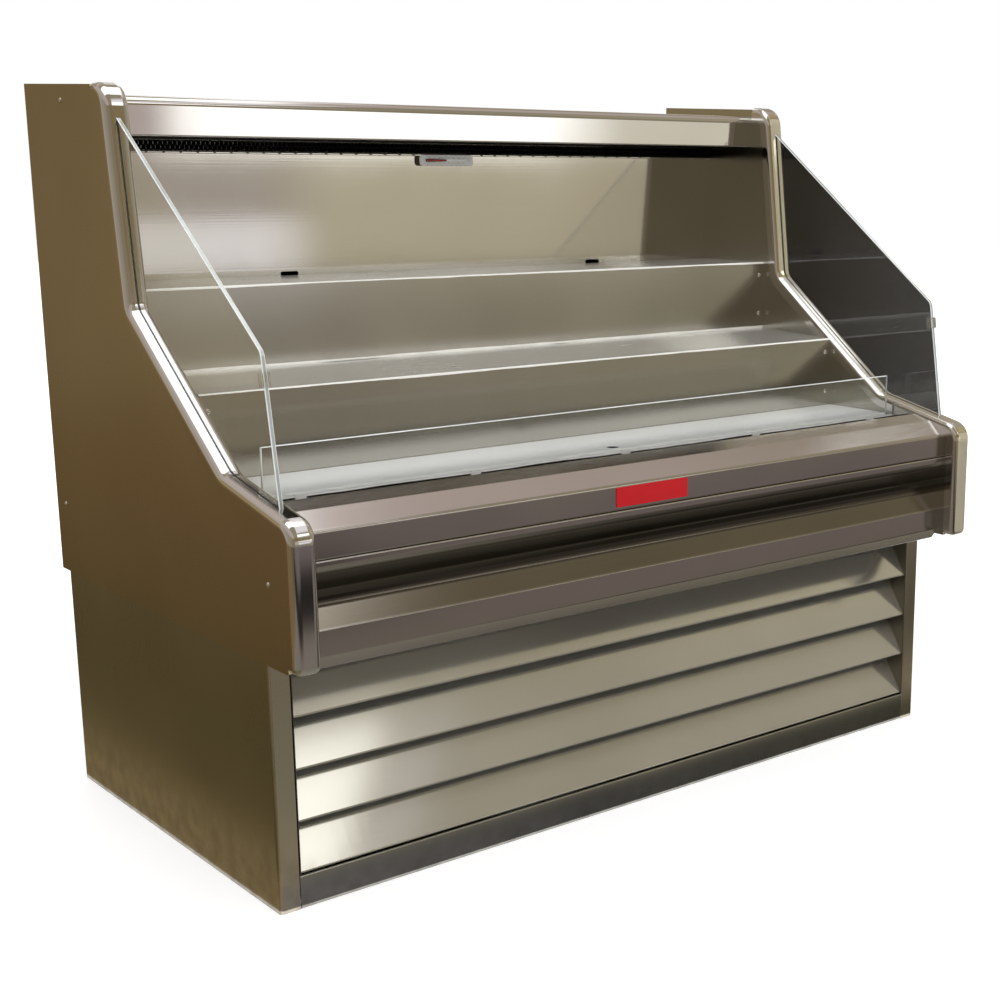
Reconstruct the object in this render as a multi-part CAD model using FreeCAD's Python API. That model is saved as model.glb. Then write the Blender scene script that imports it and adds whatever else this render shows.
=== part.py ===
import FreeCAD, Part
import math
import os

# Open three-level refrigerated display case with a self-contained machine base.
# Millimetres. X runs to the right as a shopper sees it, Y to the rear, Z up.
# The origin is on the floor, under the middle of the case.

# ---------------------------------------------------------------- whole case
overall_width = 1295.0          # across the outer faces of the end panels
overall_depth = 762.0           # end panel nose to back panel
overall_height = 1092.0         # floor to the rear corner of the end panels
end_thickness = 38.0            # insulated end panel
base_height = 355.0             # floor to the underside of the insulated body
base_inset = 11.0               # base side, in from the end panel face
front_overhang = 98.0           # end panel nose ahead of the base front
sheet = 1.2                     # stainless and galvanised sheet
fold = 1.0                      # inside radius of a plain fold in sheet
seat_gap = 0.3                  # clearance of a piece that lies loose in its seat

half_width = overall_width / 2
inner_x = half_width - end_thickness
base_x = half_width - base_inset
front_y = -overall_depth / 2
rear_y = overall_depth / 2
base_y = front_y + front_overhang

# ----------------------------------------------- end panel outline, nose to top
nose_rise = 192.0               # underside to the corner of the nose
nose_run = 182.0                # nose to the low knee, along Y
nose_climb = 39.0
slope_run = 258.0               # low knee to the high knee
slope_climb = 194.5
mast_lean = 36.0                # high knee to the top front corner, along Y
top_fall = 11.0                 # rear corner down to the front corner
nose_radius = 32.0
low_knee_radius = 45.0
high_knee_radius = 22.0
top_radius = 36.0
foot_radius = 10.0              # bottom front corner
trim_depth = 22.0               # polished edge trim, measured into the panel
trim_outer_round = 12.0         # outer edge of the trim
trim_inner_round = 10.0
trim_end = 42.0                 # top front corner to the trim's end, along Y
trim_proud = 3.0                # trim above the skin's top edge, behind its end

# ------------------------------------------------------------- side glass panes
glass = 6.0                     # thickness
glass_seat = 10.0               # depth of the pane in the trim
glass_clearance = 0.4           # pane to groove, each side
glass_corner_y = 84.0           # upper front corner of the pane, behind the nose
glass_corner_rise = 396.0       # that corner above the body's underside
glass_foot_y = 52.0             # lower front corner of the pane, behind the nose
glass_corner_radius = 16.0
glass_top_back = 50.0           # the pane's sloping edge runs up to here, past the mast
glass_top_drop = 14.0
clip_height = 18.0              # clear retaining clip on the pane's front edge
clip_reach = 9.0
clip_wall = 2.0
clip_below_corner = 34.0

# --------------------------------------------------------------- insulated tank
tank_setback = 59.0             # end panel nose to the tank's front skin
tank_front_drop = 14.0          # deck down to the top of the tank's front wall
front_insulation = 34.0
floor_insulation = 40.0
rear_insulation = 36.0
drain_inset = 336.5             # drain, in from the right base side
drain_rear = 106.0              # drain, ahead of the back panel
drain_radius = 16.0
drain_wall = 2.0
drain_flange_radius = 30.0
drain_flange = 3.0

# ------------------------------------------------------------ nose rail and front
rail_back_rise = 6.0            # rail's back edge above the deck
rail_crease_back = 34.0         # rail's back edge to its crease
rail_crease_drop = 9.0
rail_nose_setback = 26.0        # end panel nose to the vertical front face
rail_nose_drop = 23.0           # deck down to the corner of the vertical front face
rail_face_height = 38.0         # that corner down to the seam with the lower front
rail_flange = 25.0
hem = 10.0
nose_bend = 5.0
cove_drop = 15.0                # seam down to the cove
cove_depth = 24.0
cove_fall = 32.0                # height of the cove's upper slope
cove_floor = 16.0               # height of its deepest part
cove_bend = 20.0
ledge_fall = 31.0               # height of the ledge that slopes out under the cove
lip_setback = 35.0              # end panel nose to the lower lip
lip_height = 35.0
lip_bend = 3.0
front_return = 12.0             # slope under the lip
front_return_fall = 18.0
seam_gap = 0.8
badge_width = 136.0
badge_height = 29.0
badge_thickness = 1.0
badge_x = -50.0
badge_drop = 18.5               # corner of the front face to the plate's middle
badge_round = 2.0

# --------------------------------------------------------- decks and display tiers
deck_rise = 199.0               # body's underside to the deck
deck_setback = 160.0            # end panel nose to the deck's front edge
deck_flange = 9.0
deck_clearance = 1.5
finger_hole_radius = 10.0
finger_hole_back = 22.0         # deck front to the hole's centre
deck_depth = 143.0
riser_low_height = 120.0
middle_depth = 176.0            # from riser to riser
tread_slope = 0.04
riser_high_height = 130.0
tier_foot = 20.0
tread_under = 24.0              # lower tread carried under the upper riser
duct_depth = 76.4               # clear depth of the rear air duct
discharge_height = 20.0         # open height between the duct panel and the hood
wall_lip = 8.0
baffle_drop = 14.0              # deck down to the air baffle over the coil
wall_slot_width = 32.0
wall_slot_height = 7.0
wall_slot_spacing = 619.0
wall_slot_shift = 20.0          # middle of the two slots, right of the case's middle
wall_slot_rise = 3.0            # middle of a slot above the upper tread
tooth_pitch = 27.4
tooth_width = 5.0
screw_head_radius = 4.0
screw_head_height = 2.2
screw_top_rear = 137.0          # end panel's rear edge to the screw near its top
screw_top_drop = 22.7           # that screw below the panel's top edge
screw_low_rear = 35.0
screw_low_front = 63.0          # end panel nose to the screw in its front foot
screw_low_rise = 108.0          # the two low screws above the panel's underside
tier_screw_inset = 11.0         # screw centre in from the end liner
tier_screw_edge = 24.0          # screw centre below the tread
tier_screw_pitch = 71.0

# ---------------------------------------------- clear front dam and return grille
dam_thickness = 5.0
dam_height = 79.0
dam_rear_gap = 3.0              # deck flange to the dam
dam_front_gap = 2.8             # dam to the channel's lip, filled by the clips
dam_end_gap = 10.0
channel_depth = 12.0
deck_rail_top = 9.0
return_grille_drop = 34.0       # deck down to the return grille
return_slot_pitch = 20.0
return_slot_width = 13.0
return_slot_margin = 9.0
dam_clip_count = 5
dam_clip_end = 57.5             # end liner to the middle of the first clip
dam_clip_width = 16.0
dam_clip_leg = 8.0

# ------------------------------------------------------ canopy and air discharge
canopy_reach = 117.0            # duct panel to the hood's face
canopy_drop = 12.0              # end panel's rear corner down to the hood's rear edge
canopy_height = 65.0
canopy_fall = 10.0              # fall of the hood's top to the front
canopy_round = 12.0
canopy_flange = 40.0
honeycomb_depth = 12.0
honeycomb_pitch = 20.0
honeycomb_slot = 15.0
honeycomb_border = 3.0
thermometer_x = 10.0
thermometer_width = 107.0
thermometer_height = 18.0
thermometer_plate = 1.6
thermometer_tube = 2.6          # radius

# ---------------------------------------------------------------- machine base
post_width = 31.0               # front flange of a base side
post_return = 16.0
base_bend = 4.0
kick_height = 47.0
kick_flange = 14.0
side_flange = 20.0
frame_leg = 30.0
frame_wall = 3.0
frame_floor_gap = 12.0
frame_gap = 1.0                 # post's return to the frame's front rail
foot_pad_radius = 19.0
foot_pad_height = 8.0
foot_stem_radius = 6.0
foot_inset = 60.0
rear_slot_rows = 9
rear_slot_pitch = 22.0
rear_slot_width = 240.0
rear_slot_height = 8.0
rear_slot_z = 110.0
rear_slot_x = 300.0
rear_panel_low_z = 20.0

# ------------------------------------------------------------------ louvre grille
blade_count = 4
blade_foot_gap = 2.0            # kick plate to the lowest blade
blade_gap = 7.0                 # a blade's top to the foot of the next
blade_depth = 42.0
blade_hem = 9.0
blade_top_flange = 6.0
grille_clearance = 1.0          # grille side to the base post's return
grille_head_gap = 14.0          # grille's top to the body's underside
grille_front_gap = 0.6          # grille frame behind the base front

# ------------------------------------------------------------- condensing unit
tray_thickness = 2.0
tray_end_gap = 76.5             # base side to the tray
tray_lip = 20.0
tray_rear_gap = 6.0
compressor_inset = 306.5        # its middle, in from the left base side
compressor_radius = 92.0
compressor_headroom = 90.0      # its top to the body's underside
compressor_seam = 3.5           # weld flange, proud of the shell
compressor_seam_height = 8.0
compressor_dome = 46.0
compressor_plate_x = 200.0
compressor_plate_y = 150.0
compressor_plate = 4.0
mount_radius = 12.0
mount_height = 12.0
mount_inset = 16.0
terminal_width = 56.0
terminal_depth = 34.0
terminal_height = 70.0
condenser_inset = 386.5         # its middle, in from the right base side
condenser_width = 380.0
condenser_head_gap = 17.0       # its top to the frame's upper angles
condenser_depth = 48.0
condenser_setback = 61.0        # base front to the condenser
fin_pitch = 10.0
fin_groove = 6.0
fin_groove_depth = 7.0
coil_plate = 2.0
tube_radius = 4.8
condenser_tube_rows = 6
shroud_depth = 30.0
shroud_flange = 1.5
orifice_margin = 14.0           # fan opening to the shroud's top
fan_tip_gap = 6.0
fan_hub_radius = 24.0
fan_hub_length = 22.0
fan_blade_count = 5
fan_blade_sweep = 50.0          # degrees of arc of each blade
fan_blade_pitch = 26.0          # degrees
fan_blade_thickness = 1.6
fan_shaft_radius = 4.0
shaft_clearance = 0.05
shaft_grip = 24.0
condenser_motor_radius = 42.0
condenser_motor_length = 62.0
motor_gap = 8.0
motor_band = 3.0
motor_post_width = 46.0
motor_round = 8.0
receiver_shift = 210.0          # compressor to the receiver
receiver_radius = 44.0
receiver_height = 190.0
receiver_foot = 10.0
drier_radius = 19.0
drier_length = 120.0
drier_shift = 80.0              # receiver to the drier
drier_drop = 145.0              # its middle below the body's underside
pan_rear_gap = 36.0             # pan to the back panel
pan_width = 400.0
pan_depth = 190.0
pan_height = 46.0
suction_radius = 7.9
liquid_radius = 4.8
pipe_bend = 26.0
control_inset = 156.5           # its middle, in from the left base side
control_width = 150.0
control_setback = 69.0          # base front to the box
control_depth = 90.0
control_height = 150.0
control_lid_lap = 8.0
dial_radius = 17.0
dial_height = 11.0
dial_shift = -40.0              # from the middle of the box
dial_rise = 106.0               # above the tray
dial_shaft_radius = 3.0
dial_shaft_length = 8.0
switch_shift = 35.0
switch_rise = 106.0
switch_width = 14.0
switch_height = 22.0
switch_depth = 9.0
switch_bezel = 3.0
switch_tilt = 7.0               # degrees the rocker's faces slope from its middle
switch_pin_radius = 1.2

# ------------------------------------------------------------ evaporator section
fan_space = 70.0                # baffle to the coil
evap_fan_spacing = 560.0
evap_fan_rise = 70.6            # above the tank floor
evap_orifice_radius = 58.0
evap_tip_gap = 4.0
evap_hub_radius = 17.0
evap_hub_length = 14.0
evap_motor_radius = 27.0
evap_motor_length = 44.0
evap_arm = 5.0
evap_gap = 6.0
coil_rear_gap = 45.0            # coil to the duct panel's plane
suction_column = 36.0           # coil front to the tube column of the suction line
liquid_column = 84.0            # coil front to the tube column of the liquid line
riser_inset = 29.5              # the two lines go up through the tank floor, left of the coil
valve_radius = 13.0
valve_height = 34.0
valve_rise = 42.6               # above the tank floor
valve_dome = 20.0               # radius of the diaphragm housing
valve_dome_height = 11.0
coil_depth = 120.0
coil_end_gap = 69.5             # coil to the end liner
coil_height = 128.0
coil_fin_pitch = 24.0
coil_fin_groove = 15.0
coil_tube_rows = 4
coil_foot = 8.0


# ------------------------------------------- places that follow from the sizes above
# insulated tank
tank_y = front_y + tank_setback
foam_front_y = tank_y + sheet
liner_front_y = foam_front_y + front_insulation
liner_face_y = liner_front_y + sheet
back_y = rear_y - sheet
foam_rear_y = back_y - rear_insulation
liner_rear_y = foam_rear_y - sheet
foam_floor_z = base_height + sheet
liner_low_z = foam_floor_z + floor_insulation
liner_floor_z = liner_low_z + sheet

# decks, tiers, duct panel and hood
deck_z = base_height + deck_rise
deck_front_y = front_y + deck_setback
riser_low_y = deck_front_y + deck_depth
riser_high_y = riser_low_y + middle_depth
tread_low_z = deck_z + riser_low_height
tread_high_z = tread_low_z + riser_high_height
wall_y = liner_rear_y - duct_depth - sheet
wall_slot_z = tread_high_z + wall_slot_rise
canopy_y = wall_y - canopy_reach
canopy_rear_z = overall_height - canopy_drop
canopy_top_z = canopy_rear_z - canopy_fall
canopy_low_z = canopy_rear_z - canopy_height
wall_top_z = canopy_low_z - discharge_height
tank_front_top = deck_z - tank_front_drop
baffle_z = deck_z - baffle_drop
return_grille_z = deck_z - return_grille_drop

# nose rail and lower front, from the top down
face_y = front_y + rail_nose_setback
lip_y = front_y + lip_setback
rail_back_y = liner_face_y + sheet
rail_back_z = deck_z + rail_back_rise
rail_nose_z = deck_z - rail_nose_drop
badge_z = rail_nose_z - badge_drop
rail_seam_z = rail_nose_z - rail_face_height
cove_top_z = rail_seam_z - cove_drop
cove_deep_top_z = cove_top_z - cove_fall
cove_deep_low_z = cove_deep_top_z - cove_floor
ledge_z = cove_deep_low_z - ledge_fall
lip_low_z = ledge_z - lip_height
front_low_z = lip_low_z - front_return_fall

# front dam, its channel and the deck's rail
dam_rear_y = deck_front_y - dam_rear_gap
dam_front_y = dam_rear_y - dam_thickness
rail_web_y = deck_front_y + sheet + seat_gap
channel_lip_y = dam_front_y - dam_front_gap
channel_z = deck_z - channel_depth
dam_clip_spacing = 2 * (inner_x - dam_clip_end) / (dam_clip_count - 1)

# machine base and louvre grille
rail_low_z = frame_floor_gap
tray_z = rail_low_z + frame_leg
tray_top = tray_z + tray_thickness
frame_front_y = base_y + post_return + frame_gap
frame_rear_y = back_y - sheet
frame_x = base_x - sheet
tray_half_width = base_x - tray_end_gap
grille_x = base_x - post_width - grille_clearance
grille_top_z = base_height - grille_head_gap
blade_low_z = kick_height + blade_foot_gap
blade_pitch = (grille_top_z - blade_low_z) / blade_count
blade_rise = blade_pitch - blade_gap

# evaporator section
coil_y = wall_y - coil_rear_gap - coil_depth
coil_width = 2 * (inner_x - coil_end_gap)
plenum_y = coil_y - fan_space
evap_fan_z = liner_floor_z + evap_fan_rise
evap_motor_y = plenum_y + sheet / 2 + evap_hub_length / 2 + evap_gap
evap_places = (-evap_fan_spacing / 2, evap_fan_spacing / 2)
riser_x = inner_x - riser_inset
valve_z = liner_floor_z + valve_rise

# condensing unit; its lines rise in line with the coil's tube columns
compressor_x = compressor_inset - base_x
compressor_y = coil_y + suction_column
compressor_z = tray_top + mount_height + compressor_plate
compressor_height = base_height - compressor_headroom - compressor_z
receiver_x = compressor_x + receiver_shift
receiver_y = coil_y + liquid_column
drier_x = receiver_x + drier_shift
drier_z = base_height - drier_drop
condenser_x = base_x - condenser_inset
condenser_z = tray_top
condenser_height = base_height - frame_leg - condenser_head_gap - condenser_z
condenser_front_y = base_y + condenser_setback
condenser_rear_y = condenser_front_y + condenser_depth
condenser_left = condenser_x - condenser_width / 2
condenser_right = condenser_x + condenser_width / 2
shroud_rear_y = condenser_rear_y + shroud_depth
fan_orifice_radius = condenser_height / 2 - orifice_margin
fan_x = condenser_x
fan_y = shroud_rear_y
fan_z = condenser_z + condenser_height / 2
condenser_motor_y = fan_y + fan_hub_length / 2 + motor_gap
drain_x = base_x - drain_inset
drain_y = rear_y - drain_rear
pan_x = drain_x
pan_y = rear_y - pan_rear_gap - pan_depth / 2

# controls
control_x = control_inset - base_x
control_front_y = base_y + control_setback
dial_x = control_x + dial_shift
dial_z = tray_top + dial_rise
switch_x = control_x + switch_shift
switch_z = tray_top + switch_rise


# ================================================================ drawing helpers
def vector(x, y, z):
    return FreeCAD.Vector(x, y, z)


def at_x(x):
    """Places an outline drawn in (Y, Z) at one X."""
    return lambda u, v: vector(x, u, v)


def at_y(y):
    """Places an outline drawn in (X, Z) at one Y."""
    return lambda u, v: vector(u, y, v)


def at_z(z):
    """Places an outline drawn in (X, Y) at one Z."""
    return lambda u, v: vector(u, v, z)


def unit(a, b):
    """Direction from point a to point b, and the distance between them."""
    run = math.hypot(b[0] - a[0], b[1] - a[1])
    return (b[0] - a[0]) / run, (b[1] - a[1]) / run, run


def rounding(before, corner, after):
    """Start, middle and end of the arc that rounds a corner (u, v, radius)."""
    back = unit(corner, before)
    ahead = unit(corner, after)
    cosine = max(-1.0, min(1.0, back[0] * ahead[0] + back[1] * ahead[1]))
    half_angle = math.acos(cosine) / 2
    radius = corner[2]
    reach = radius / math.tan(half_angle)
    start = (corner[0] + back[0] * reach, corner[1] + back[1] * reach)
    end = (corner[0] + ahead[0] * reach, corner[1] + ahead[1] * reach)
    bisector = (back[0] + ahead[0], back[1] + ahead[1])
    length = math.hypot(*bisector)
    depth = radius / math.sin(half_angle) - radius
    middle = (corner[0] + bisector[0] / length * depth, corner[1] + bisector[1] / length * depth)
    return start, middle, end


def outline(corners, place):
    """Closed wire through corners (u, v) or (u, v, radius)."""
    full = [c if len(c) == 3 else (c[0], c[1], 0.0) for c in corners]
    stops = []
    for i, corner in enumerate(full):
        if corner[2] > 0:
            stops.append(rounding(full[i - 1], corner, full[(i + 1) % len(full)]))
        else:
            stops.append((corner[:2], None, corner[:2]))
    edges = []
    for i, (start, middle, end) in enumerate(stops):
        if middle:
            edges.append(Part.Arc(place(*start), place(*middle), place(*end)).toShape())
        following = stops[(i + 1) % len(stops)][0]
        if math.hypot(following[0] - end[0], following[1] - end[1]) > 1e-6:
            edges.append(Part.makeLine(place(*end), place(*following)))
    return Part.Wire(edges)


def slab_x(corners, low, high):
    """Outline in (Y, Z), solid from x = low to x = high."""
    return Part.Face(outline(corners, at_x(low))).extrude(vector(high - low, 0, 0))


def slab_y(corners, low, high):
    """Outline in (X, Z), solid from y = low to y = high."""
    return Part.Face(outline(corners, at_y(low))).extrude(vector(0, high - low, 0))


def slab_z(corners, low, high):
    """Outline in (X, Y), solid from z = low to z = high."""
    return Part.Face(outline(corners, at_z(low))).extrude(vector(0, 0, high - low))


def block(x, y, z):
    """Box between the pairs x, y and z."""
    size = (x[1] - x[0], y[1] - y[0], z[1] - z[0])
    return Part.makeBox(*size, vector(x[0], y[0], z[0]))


def rod(start, direction, length, radius):
    return Part.makeCylinder(radius, length, vector(*start), vector(*direction))


def fuse(solids):
    """One solid from touching or overlapping ones."""
    joined = solids[0]
    if len(solids) > 1:
        joined = solids[0].multiFuse(solids[1:])
    return joined.removeSplitter()


def group(solids):
    """Separate solids kept in one node."""
    return Part.makeCompound(solids)


def mirrored(shape):
    """The same piece on the other side of the case."""
    return shape.mirror(vector(0, 0, 0), vector(1, 0, 0))


def formed(path, side=1, thickness=sheet):
    """Outline of bent sheet: path points (u, v, bend) lie on one face of the sheet.

    side 1 puts the metal on the left of the path and side -1 on the right.
    A bend is the inside radius, and 0 leaves a sharp fold.
    """
    full = [p if len(p) == 3 else (p[0], p[1], 0.0) for p in path]
    face = []
    back = []
    for i, point in enumerate(full):
        ahead = unit(point, full[i + 1]) if i + 1 < len(full) else unit(full[i - 1], point)
        behind = unit(full[i - 1], point) if i > 0 else ahead
        normals = [(-d[1] * side, d[0] * side) for d in (behind, ahead)]
        scale = thickness / (1 + normals[0][0] * normals[1][0] + normals[0][1] * normals[1][1])
        shift = [(normals[0][k] + normals[1][k]) * scale for k in (0, 1)]
        turn = (behind[0] * ahead[1] - behind[1] * ahead[0]) * side
        inside = point[2]
        outside = inside + thickness if inside > 0 else 0.0
        face.append((point[0], point[1], outside if turn > 0 else inside))
        back.append((point[0] + shift[0], point[1] + shift[1], inside if turn > 0 else outside))
    return face + back[::-1]


def pipe(points, radius, bend):
    """Round tube line through the points, with a bend at each inner one."""
    stops = [vector(*p) for p in points]
    pieces = []
    last = stops[0]
    for i in range(1, len(stops) - 1):
        back = (stops[i - 1] - stops[i]).normalize()
        ahead = (stops[i + 1] - stops[i]).normalize()
        half_angle = back.getAngle(ahead) / 2
        reach = bend / math.tan(half_angle)
        start = stops[i] + back * reach
        centre = stops[i] + (back + ahead).normalize() * (bend / math.sin(half_angle))
        ring = Part.Face(Part.Wire(Part.makeCircle(radius, start, back)))
        pieces.append(rod(last, -back, (start - last).Length, radius))
        pieces.append(ring.revolve(centre, ahead.cross(back), 180 - 2 * math.degrees(half_angle)))
        last = stops[i] + ahead * reach
    direction = stops[-1] - last
    pieces.append(rod(last, direction, direction.Length, radius))
    return fuse(pieces)


def elbow_tube(points, radius):
    """Tube line made of straight lengths with mitred joints."""
    line = Part.makePolygon([vector(*p) for p in points])
    start = vector(*points[0])
    ring = Part.Wire(Part.makeCircle(radius, start, vector(*points[1]) - start))
    return line.makePipeShell([ring], True, False, 1)


def turned(profile, centre, direction):
    """Solid of revolution: profile (radius, height) points about an axis at centre."""
    points = [vector(r, 0, h) for r, h in profile]
    wire = Part.makePolygon(points + points[:1])
    solid = Part.Face(wire).revolve(vector(0, 0, 0), vector(0, 0, 1), 360)
    solid.Placement = FreeCAD.Placement(vector(*centre), FreeCAD.Rotation(vector(0, 0, 1), vector(*direction)))
    return solid


def obround(centre_u, centre_v, width, height):
    """Corners of a slot with round ends, width along u."""
    half_u = width / 2
    half_v = height / 2
    radius = min(half_u, half_v) - 0.01
    return [
        (centre_u - half_u, centre_v - half_v, radius),
        (centre_u + half_u, centre_v - half_v, radius),
        (centre_u + half_u, centre_v + half_v, radius),
        (centre_u - half_u, centre_v + half_v, radius),
    ]


def spread(count, pitch):
    """Evenly spaced places about 0."""
    return [(i - (count - 1) / 2) * pitch for i in range(count)]


def save(name, shape):
    shape.exportStep(os.path.join("parts", name + ".step"))


# ==================================================================== end panels
top_front_y = front_y + nose_run + slope_run + mast_lean
trim_end_y = top_front_y + trim_end
glass_top_y = top_front_y + glass_top_back
glass_corner_z = base_height + glass_corner_rise


def top_z(y):
    """Height of an end panel's top edge behind the trim's end."""
    return overall_height - top_fall * (rear_y - y) / (rear_y - top_front_y)


def end_corners(extra_rear=0.0, extra_low=0.0):
    """Side outline of an end panel in (Y, Z), from the bottom front corner backwards."""
    nose_z = base_height + nose_rise
    low_knee = (front_y + nose_run, nose_z + nose_climb)
    high_knee = (low_knee[0] + slope_run, low_knee[1] + slope_climb)
    top_front = (high_knee[0] + mast_lean, top_z(high_knee[0] + mast_lean) + trim_proud)
    return [
        (rear_y + extra_rear, base_height - extra_low),
        (rear_y + extra_rear, top_z(rear_y + extra_rear) + trim_proud),
        top_front + (top_radius,),
        high_knee + (high_knee_radius,),
        low_knee + (low_knee_radius,),
        (front_y, nose_z, nose_radius),
        (front_y, base_height - extra_low, foot_radius if extra_low == 0 else 0.0),
    ]


def inset_face(depth, x):
    """End panel outline with its front and top edges moved in by depth."""
    wide = outline(end_corners(depth, depth), at_x(x))
    return Part.Face(wide.makeOffset2D(-depth))


def top_strip(low, high):
    """The top edge of an end panel behind the trim's end, a little lower than the trim."""
    corners = [
        (trim_end_y, top_z(trim_end_y) - 2 * trim_depth),
        (rear_y, top_z(rear_y) - 2 * trim_depth),
        (rear_y, top_z(rear_y)),
        (trim_end_y, top_z(trim_end_y)),
    ]
    return slab_x(corners, low, high)


def end_body(low, high):
    """The part of an end panel that lies behind the edge trim."""
    behind = inset_face(trim_depth, low).extrude(vector(high - low, 0, 0))
    return fuse([behind, top_strip(low, high)])


def end_core():
    """Foam between the skin's flanges, the liner and the edge trim."""
    body = end_body(inner_x + sheet, half_width - sheet)
    return body.common(block((inner_x, half_width), (front_y, rear_y - sheet), (base_height + sheet, overall_height)))


def end_skin():
    """Outer sheet of an end panel, turned in along its rear and bottom edges."""
    return end_body(inner_x + sheet, half_width).cut(end_core())


def glass_corners(grow=0.0):
    """Pane outline in (Y, Z); what lies inside the panel is cut away afterwards."""
    inner_z = base_height + nose_rise / 2
    return [
        (front_y + glass_foot_y - grow, inner_z),
        (front_y + glass_foot_y - grow, base_height + nose_rise),
        (front_y + glass_corner_y - grow, glass_corner_z + grow, glass_corner_radius),
        (glass_top_y, overall_height - glass_top_drop + grow),
        (glass_top_y, inner_z),
    ]


def pane(grow, x, thickness):
    """Pane-shaped solid: the outline less the panel inset by the seat depth."""
    solid = slab_x(glass_corners(grow), x, x + thickness)
    inside = inset_face(glass_seat + grow, x).extrude(vector(thickness, 0, 0))
    pieces = solid.cut(inside).Solids
    return max(pieces, key=lambda piece: piece.Volume)


def side_glass():
    x = half_width - end_thickness / 2 - glass / 2
    return pane(0.0, x, glass)


def end_trim():
    """Bent bright cap along the front and top edge, with the groove that holds the pane."""
    whole = slab_x(end_corners(), inner_x, half_width)
    inside = inset_face(trim_depth, inner_x).extrude(vector(end_thickness, 0, 0))
    band = whole.cut(inside)
    profile = outline(end_corners(), at_x(0))
    outer_edges = []
    inner_edges = []
    for edge in band.Edges:
        middle = edge.valueAt((edge.FirstParameter + edge.LastParameter) / 2)
        at_profile = profile.distToShape(Part.Vertex(vector(0, middle.y, middle.z)))[0] < 0.01
        exposed = middle.z > base_height + 0.5 and middle.y < rear_y - 0.5
        if edge.BoundBox.XLength < 0.01 and at_profile and exposed:
            if abs(middle.x - half_width) < 0.01:
                outer_edges.append(edge)
            if abs(middle.x - inner_x) < 0.01:
                inner_edges.append(edge)
    band = band.makeFillet(trim_outer_round, outer_edges)
    band = band.makeFillet(trim_inner_round, matching_edges(band, inner_edges))
    x = half_width - end_thickness / 2 - glass / 2 - glass_clearance
    top = overall_height + trim_proud
    rear = block((0, half_width), (trim_end_y, rear_y), (base_height + nose_rise, top))
    return band.cut([pane(glass_clearance, x, glass + 2 * glass_clearance), rear])


def matching_edges(solid, edges):
    """The edges of a changed solid that lie where the given ones were."""
    found = []
    for old in edges:
        middle = Part.Vertex(old.valueAt((old.FirstParameter + old.LastParameter) / 2))
        nearest = min(solid.Edges, key=lambda edge: edge.distToShape(middle)[0])
        found.append(nearest)
    return found


def glass_clip():
    """Clear U clip on the front edge of a pane, under its upper corner."""
    middle_x = half_width - end_thickness / 2
    lean = (glass_corner_y - glass_foot_y) / (glass_corner_z - base_height - nose_rise)
    centre_z = glass_corner_z - clip_below_corner
    edge_y = front_y + glass_corner_y - lean * clip_below_corner
    outer = block(
        (middle_x - glass / 2 - seat_gap - clip_wall, middle_x + glass / 2 + seat_gap + clip_wall),
        (edge_y - seat_gap - clip_wall, edge_y + clip_reach),
        (centre_z - clip_height / 2, centre_z + clip_height / 2),
    )
    slot = block(
        (middle_x - glass / 2 - seat_gap, middle_x + glass / 2 + seat_gap),
        (edge_y - seat_gap, edge_y + clip_reach + clip_wall),
        (centre_z - clip_height, centre_z + clip_height),
    )
    shape = outer.cut(slot)
    turn = -math.degrees(math.atan(lean))
    shape.rotate(vector(middle_x, edge_y, centre_z), vector(1, 0, 0), turn)
    return shape


def screw_head(place, direction):
    """Low domed screw head that stands on a face."""
    profile = [
        (0, 0),
        (screw_head_radius, 0),
        (screw_head_radius * 0.6, screw_head_height),
        (0, screw_head_height),
    ]
    return turned(profile, place, direction)


def end_screws():
    """Screws that hold each end panel, on its outer face."""
    top_y = rear_y - screw_top_rear
    places = [
        (top_y, top_z(top_y) - screw_top_drop),
        (rear_y - screw_low_rear, base_height + screw_low_rise),
        (front_y + screw_low_front, base_height + screw_low_rise),
    ]
    right = [screw_head((half_width, y, z), (1, 0, 0)) for y, z in places]
    left = [screw_head((-half_width, y, z), (-1, 0, 0)) for y, z in places]
    return right + left


# ================================================================= insulated tank
def through_floor(radius, low, high):
    return rod((drain_x, drain_y, low), (0, 0, 1), high - low, radius)


def floor_holes(high):
    """Holes in the tank floor for the drain and the two refrigerant lines."""
    length = high - base_height + 1
    low = base_height - 1
    return [
        through_floor(drain_radius + seat_gap, low, high),
        rod((-riser_x, compressor_y, low), (0, 0, 1), length, suction_radius + seat_gap),
        rod((-riser_x, receiver_y, low), (0, 0, 1), length, liquid_radius + seat_gap),
    ]


def tank_shell():
    """Galvanised pan: front skin and underside, turned up against the back panel."""
    path = [
        (tank_y, tank_front_top),
        (tank_y, base_height),
        (back_y, base_height),
        (back_y, base_height + side_flange),
    ]
    pan = slab_x(formed(path, 1), -inner_x, inner_x)
    return pan.cut(floor_holes(liner_floor_z))


def tank_insulation():
    """Foamed wall between the skin and the liner."""
    corners = [
        (foam_front_y, foam_floor_z),
        (back_y - sheet, foam_floor_z),
        (back_y - sheet, base_height + side_flange),
        (back_y, base_height + side_flange),
        (back_y, canopy_low_z),
        (foam_rear_y, canopy_low_z),
        (foam_rear_y, liner_low_z),
        (liner_front_y, liner_low_z),
        (liner_front_y, tank_front_top),
        (foam_front_y, tank_front_top),
    ]
    foam = slab_x(corners, -inner_x, inner_x)
    return foam.cut(floor_holes(liner_floor_z))


def tank_liner():
    """Stainless inner tank: front wall, floor and the rear wall of the air duct."""
    path = [
        (liner_front_y, tank_front_top),
        (liner_front_y, liner_low_z),
        (foam_rear_y, liner_low_z),
        (foam_rear_y, canopy_low_z),
    ]
    liner = slab_x(formed(path, 1), -inner_x, inner_x)
    return liner.cut(floor_holes(liner_floor_z + sheet))


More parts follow.
